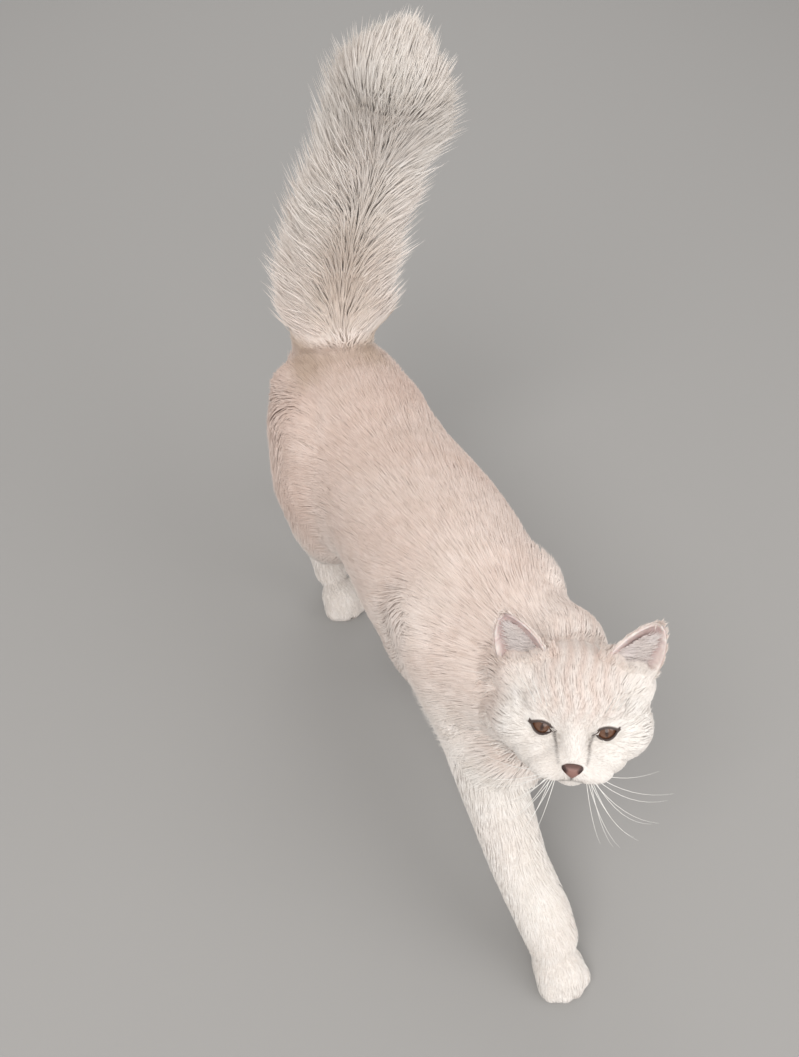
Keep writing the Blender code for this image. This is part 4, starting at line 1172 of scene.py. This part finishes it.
def eye(name, side):
    """The eyeball with its bulging cornea, and a flat map of its front for the iris."""
    bm = bmesh.new()
    ball(bm, Matrix.Rotation(math.pi / 2, 4, "X"), evenly(EYE_RADIUS - 0.0001), 64, 48)
    flat = bm.loops.layers.uv.new("front")
    for vert in bm.verts:
        off_axis = math.hypot(vert.co.x, vert.co.z) / EYE_RADIUS
        if vert.co.y < 0:
            vert.co.y -= 0.0006 * max(0.0, 1 - (off_axis / 0.75) ** 2)
    for face in bm.faces:
        for loop in face.loops:
            where = loop.vert.co / EYE_RADIUS
            reach = 0.5 if where.y < 0 else 0.5 + 0.4 * where.y
            loop[flat].uv = (0.5 + reach * where.x * 0.98, 0.5 + reach * where.z * 0.98)
    bmesh.ops.transform(bm, matrix=eye_frame(side), verts=bm.verts)
    return new_object(name, bm)


def node(tree, kind, place, **values):
    made = tree.nodes.new(kind)
    made.location = place
    for key, value in values.items():
        setattr(made, key, value)
    return made


def material(name, roughness):
    made = bpy.data.materials.new(name)
    made.use_nodes = True
    shader = made.node_tree.nodes["Principled BSDF"]
    shader.inputs["Roughness"].default_value = roughness
    return made, made.node_tree, shader


def multiply(tree, first, second, place):
    mix = node(tree, "ShaderNodeMix", place, data_type="RGBA", blend_type="MULTIPLY")
    mix.inputs["Factor"].default_value = 1.0
    tree.links.new(first, mix.inputs["A"])
    tree.links.new(second, mix.inputs["B"])
    return mix.outputs["Result"]


def ramp(tree, stops, place):
    made = node(tree, "ShaderNodeValToRGB", place)
    points = made.color_ramp.elements
    while len(points) < len(stops):
        points.new(0.5)
    for point, (position, colour) in zip(points, stops):
        point.position = position
        point.color = (*colour, 1)
    return made


def marked_material(name, roughness, grain, stops, bump=None):
    """The piece's own marked colours, with the painted shade that skin and coat carry, toned by a fine grain,
    which is its bump as well where a bump is given.
    """
    made, tree, shader = material(name, roughness)
    kind, output, settings = grain
    marks_and_shade = node(tree, "ShaderNodeVertexColor", (-700, 100), layer_name="markings_and_shade")
    place = node(tree, "ShaderNodeTexCoord", (-1100, -150))
    texture = node(tree, kind, (-900, -150))
    for socket, value in settings.items():
        texture.inputs[socket].default_value = value
    tree.links.new(place.outputs["Object"], texture.inputs["Vector"])
    (low, deepest), high = stops
    tone = ramp(tree, ((low, deepest), (high, WHITE)), (-700, -150))
    tree.links.new(texture.outputs[output], tone.inputs["Fac"])
    colour = multiply(tree, marks_and_shade.outputs["Color"], tone.outputs["Color"], (-350, 50))
    tree.links.new(colour, shader.inputs["Base Color"])
    if bump:
        relief = node(tree, "ShaderNodeBump", (-350, -250))
        relief.inputs["Strength"].default_value, relief.inputs["Distance"].default_value = bump
        tree.links.new(texture.outputs[output], relief.inputs["Height"])
        tree.links.new(relief.outputs["Normal"], shader.inputs["Normal"])
    return made, shader


def coat_material():
    """Soft hair: the marked colours and painted shade, with a slight change of tone from lock to lock."""
    grain = ("ShaderNodeTexNoise", "Fac", {"Scale": 90, "Detail": 3})
    made, shader = marked_material("coat_hair", 0.62, grain, ((0.30, (0.93, 0.91, 0.89)), 0.72))
    shader.inputs["Specular IOR Level"].default_value = 0.3
    return made


def skin_material():
    """The coat's short undercoat as it shows between tufts, with fine streaks as bump."""
    grain = ("ShaderNodeTexNoise", "Fac", {"Scale": 700, "Detail": 4})
    return marked_material("undercoat", 0.75, grain, ((0.30, (0.80, 0.77, 0.74)), 0.70), (0.5, 0.0006))[0]


def ear_material():
    """Thin skin inside the ear, with faint vessels, and a velvety rim."""
    grain = ("ShaderNodeTexNoise", "Fac", {"Scale": 140, "Detail": 5, "Distortion": 1.2})
    stops = ((0.35, (0.78, 0.72, 0.72)), 0.65)
    made, shader = marked_material("ear_skin", 0.6, grain, stops, (0.35, 0.0005))
    shader.inputs["Subsurface Weight"].default_value = 0.15
    shader.inputs["Subsurface Radius"].default_value = (0.004, 0.0015, 0.001)
    return made


def nose_material():
    """Pink nose leather, pebbled."""
    grain = ("ShaderNodeTexVoronoi", "Distance", {"Scale": 1700})
    stops = ((0.05, (0.82, 0.78, 0.78)), 0.55)
    return marked_material("nose_leather_pink", 0.42, grain, stops, (0.45, 0.0003))[0]


# The iris from its middle to its dark edge: share of the eyeball's radius and colour.
IRIS_BANDS = (
    (0.00, (0.150, 0.072, 0.042)),
    (0.30, (0.190, 0.088, 0.048)),
    (0.58, (0.150, 0.062, 0.034)),
    (0.72, (0.060, 0.026, 0.018)),
    (0.84, (0.020, 0.011, 0.010)),
)
PUPIL_HALF_WIDTH, PUPIL_HALF_HEIGHT = 0.14, 0.44


def math_node(tree, operation, place, *values):
    made = node(tree, "ShaderNodeMath", place, operation=operation)
    for socket, value in zip(made.inputs, values):
        if isinstance(value, (int, float)):
            socket.default_value = value
        else:
            tree.links.new(value, socket)
    return made.outputs["Value"]


def eye_material():
    """Amber iris with fine spokes, a dark limbus, an upright pupil and a wet, clear surface."""
    made, tree, shader = material("amber_eye", 0.06)
    flat = node(tree, "ShaderNodeUVMap", (-1700, 0), uv_map="front")
    split = node(tree, "ShaderNodeSeparateXYZ", (-1500, 0))
    tree.links.new(flat.outputs["UV"], split.inputs["Vector"])
    x = math_node(tree, "MULTIPLY_ADD", (-1300, 100), split.outputs["X"], 2.0, -1.0)
    y = math_node(tree, "MULTIPLY_ADD", (-1300, -100), split.outputs["Y"], 2.0, -1.0)
    x_square = math_node(tree, "MULTIPLY", (-1100, 100), x, x)
    y_square = math_node(tree, "MULTIPLY", (-1100, -100), y, y)
    radius = math_node(tree, "SQRT", (-700, 0), math_node(tree, "ADD", (-900, 0), x_square, y_square))
    bands = ramp(tree, IRIS_BANDS, (-450, 200))
    tree.links.new(radius, bands.inputs["Fac"])
    angle = math_node(tree, "ARCTAN2", (-900, -300), y, x)
    spokes = node(tree, "ShaderNodeTexNoise", (-500, -300), noise_dimensions="2D")
    spokes.inputs["Scale"].default_value = 6
    spokes.inputs["Detail"].default_value = 4
    around = node(tree, "ShaderNodeCombineXYZ", (-700, -300))
    tree.links.new(math_node(tree, "MULTIPLY", (-800, -300), angle, 3.0), around.inputs["X"])
    tree.links.new(math_node(tree, "MULTIPLY", (-800, -450), radius, 0.7), around.inputs["Y"])
    tree.links.new(around.outputs["Vector"], spokes.inputs["Vector"])
    spoke_tone = ramp(tree, ((0.30, (0.60, 0.58, 0.55)), (0.70, WHITE)), (-300, -300))
    tree.links.new(spokes.outputs["Fac"], spoke_tone.inputs["Fac"])
    iris = multiply(tree, bands.outputs["Color"], spoke_tone.outputs["Color"], (-50, 100))
    wide = math_node(tree, "DIVIDE", (-900, -600), x_square, PUPIL_HALF_WIDTH**2)
    tall = math_node(tree, "DIVIDE", (-900, -750), y_square, PUPIL_HALF_HEIGHT**2)
    pupil = ramp(tree, ((0.10, (0.30, 0.25, 0.24)), (1.0, WHITE)), (-300, -650))
    tree.links.new(math_node(tree, "ADD", (-650, -650), wide, tall), pupil.inputs["Fac"])
    colour = multiply(tree, iris, pupil.outputs["Color"], (150, 0))
    tree.links.new(colour, shader.inputs["Base Color"])
    shader.inputs["Coat Weight"].default_value = 1.0
    shader.inputs["Coat Roughness"].default_value = 0.02
    return made


NOSTRIL_TURN = math.radians(-24)
# The dark patch at each nostril's outer corner: its half sizes, and how much further out and up it lies.
NOSTRIL_PATCH = (0.0040, 0.0060, 0.0028)
PATCH_OUT, PATCH_UP = 1.38, 0.0010
NOSE_EDGE_DARK = 0.65


def nose():
    """The nose leather, with cut nostrils, and dark at their outer corners and along its upper edge."""
    made = nose_leather("nose_leather", 0)
    for side in (1, -1):
        bm = bmesh.new()
        place = Vector((NOSTRIL_PLACE.x * side, *NOSTRIL_PLACE.yz))
        ball(bm, HEAD @ at(place) @ Matrix.Rotation(side * NOSTRIL_TURN, 4, "Y"), NOSTRIL_SIZE, 20, 12)
        boolean(made, "DIFFERENCE", new_object("nostril", bm))
    made.data.shade_smooth()
    points = to_head(mesh_arrays(made)[0])
    upper = (points[:, 2] - NOSE_PLACE.z) / NOSE_SIZE.z
    dark = NOSE_EDGE_DARK * smooth_step(0.45, 0.85, upper)
    for side in (1, -1):
        corner = np.array((NOSTRIL_PLACE.x * side * PATCH_OUT, NOSTRIL_PLACE.y, NOSTRIL_PLACE.z + PATCH_UP))
        away = np.linalg.norm((points - corner) / np.array(NOSTRIL_PATCH), axis=1)
        dark = np.maximum(dark, smooth_step(1.35, 0.75, away))
    dark = dark[:, None]
    paint(made, NOSE_PINK * (1 - dark) + NOSE_DARK * dark)
    return made


def whisker_material():
    """Pale, glossy hair with a slight change of tone."""
    made, tree, shader = material("whisker_hair", 0.35)
    place = node(tree, "ShaderNodeTexCoord", (-900, 0))
    noise = node(tree, "ShaderNodeTexNoise", (-700, 0))
    noise.inputs["Scale"].default_value = 60
    tree.links.new(place.outputs["Object"], noise.inputs["Vector"])
    tone = ramp(tree, ((0.2, (0.86, 0.84, 0.80)), (0.8, (0.95, 0.94, 0.92))), (-450, 0))
    tree.links.new(noise.outputs["Fac"], tone.inputs["Fac"])
    tree.links.new(tone.outputs["Color"], shader.inputs["Base Color"])
    return made


def dress(piece, finish, replaced=()):
    """Gives a finished piece its material and its place in the shared frame."""
    piece.data.materials.clear()
    piece.data.materials.append(finish)
    piece.data.transform(at(SHIFT))
    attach(piece, "root")
    if replaced:
        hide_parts(*replaced)


def build_cat():
    chance = np.random.default_rng(SEED)
    skin = whole_skin()
    surface, arrays = surface_of(skin), mesh_arrays(skin)
    paint(skin, coat_colour(arrays[0], arrays[1], lids=True))
    hair_finish = coat_material()
    for name in COAT_PIECES:
        dress(coat_piece(name, surface, arrays, chance), hair_finish)
    sheets = {side: ear(f"{hand}_ear_cup", side) for side, hand in HANDS}
    dress(ear_coat("coat_ears", sheets, surface, chance), hair_finish)
    ear_finish = ear_material()
    for side, hand in HANDS:
        dress(sheets[side], ear_finish, (f"ear_{hand}",))
    eye_finish = eye_material()
    for side, hand in HANDS:
        dress(eye(f"{hand}_eyeball", side), eye_finish, (f"eye_{hand}",))
    dress(nose(), nose_material(), ("nose",))
    dress(whiskers(surface), whisker_material())
    dress(skin, skin_material(), FLESH_NODES)


def area_light(name, place, aim, size, watts, colour):
    data = bpy.data.lights.new(name, "AREA")
    data.shape = "DISK"
    data.size = size
    data.energy = watts
    data.color = colour
    made = bpy.data.objects.new(name, data)
    bpy.context.scene.collection.objects.link(made)
    made.location = place
    made.rotation_euler = (Vector(aim) - Vector(place)).to_track_quat("-Z", "Y").to_euler()


# Studio lights: place, what each is aimed at, size, watts and colour. All but the key light share the air's.
AIR_COLOUR, AIR_STRENGTH = (1.0, 0.98, 0.96), 0.52
LIGHTS = {
    "key_light": ((-1.3, -1.0, 2.4), (0, 0, 0.15), 1.8, 35, (1.0, 0.97, 0.94)),
    "fill_light": ((1.4, -1.7, 1.3), (0, 0, 0.2), 2.2, 22, AIR_COLOUR),
    "front_light": ((-0.5, -2.2, 1.2), (0, 0, 0.3), 1.6, 10, AIR_COLOUR),
    "rim_light": ((0.6, 1.9, 1.8), (0, 0, 0.25), 1.6, 14, AIR_COLOUR),
}
FLOOR_SIZE, FLOOR_COLOUR = 6, (0.36, 0.355, 0.349, 1)


def studio():
    """A plain pale floor and soft light."""
    bm = bmesh.new()
    bmesh.ops.create_grid(bm, x_segments=1, y_segments=1, size=FLOOR_SIZE)
    floor = new_object("studio_floor", bm)
    finish, shader = material("pale_floor", 0.9)[::2]
    shader.inputs["Base Color"].default_value = FLOOR_COLOUR
    floor.data.materials.append(finish)
    for name, settings in LIGHTS.items():
        area_light(name, *settings)
    world = bpy.data.worlds.new("studio_air")
    world.use_nodes = True
    air = world.node_tree.nodes["Background"].inputs
    air["Color"].default_value = (*AIR_COLOUR, 1)
    air["Strength"].default_value = AIR_STRENGTH
    bpy.context.scene.world = world
    bpy.context.scene.view_settings.view_transform = "Standard"


def camera():
    """The photograph's viewpoint and angle."""
    data = bpy.data.cameras.new("photo_camera")
    data.sensor_width = SENSOR_MM
    data.sensor_fit = "AUTO"
    data.lens = SENSOR_MM * FOCAL_PX / IMAGE_HEIGHT_PX
    made = bpy.data.objects.new("photo_camera", data)
    bpy.context.scene.collection.objects.link(made)
    made.location = CAMERA_PLACE + SHIFT
    made.rotation_euler = CAMERA_TURN
    bpy.context.scene.camera = made


camera()
studio()
build_cat()
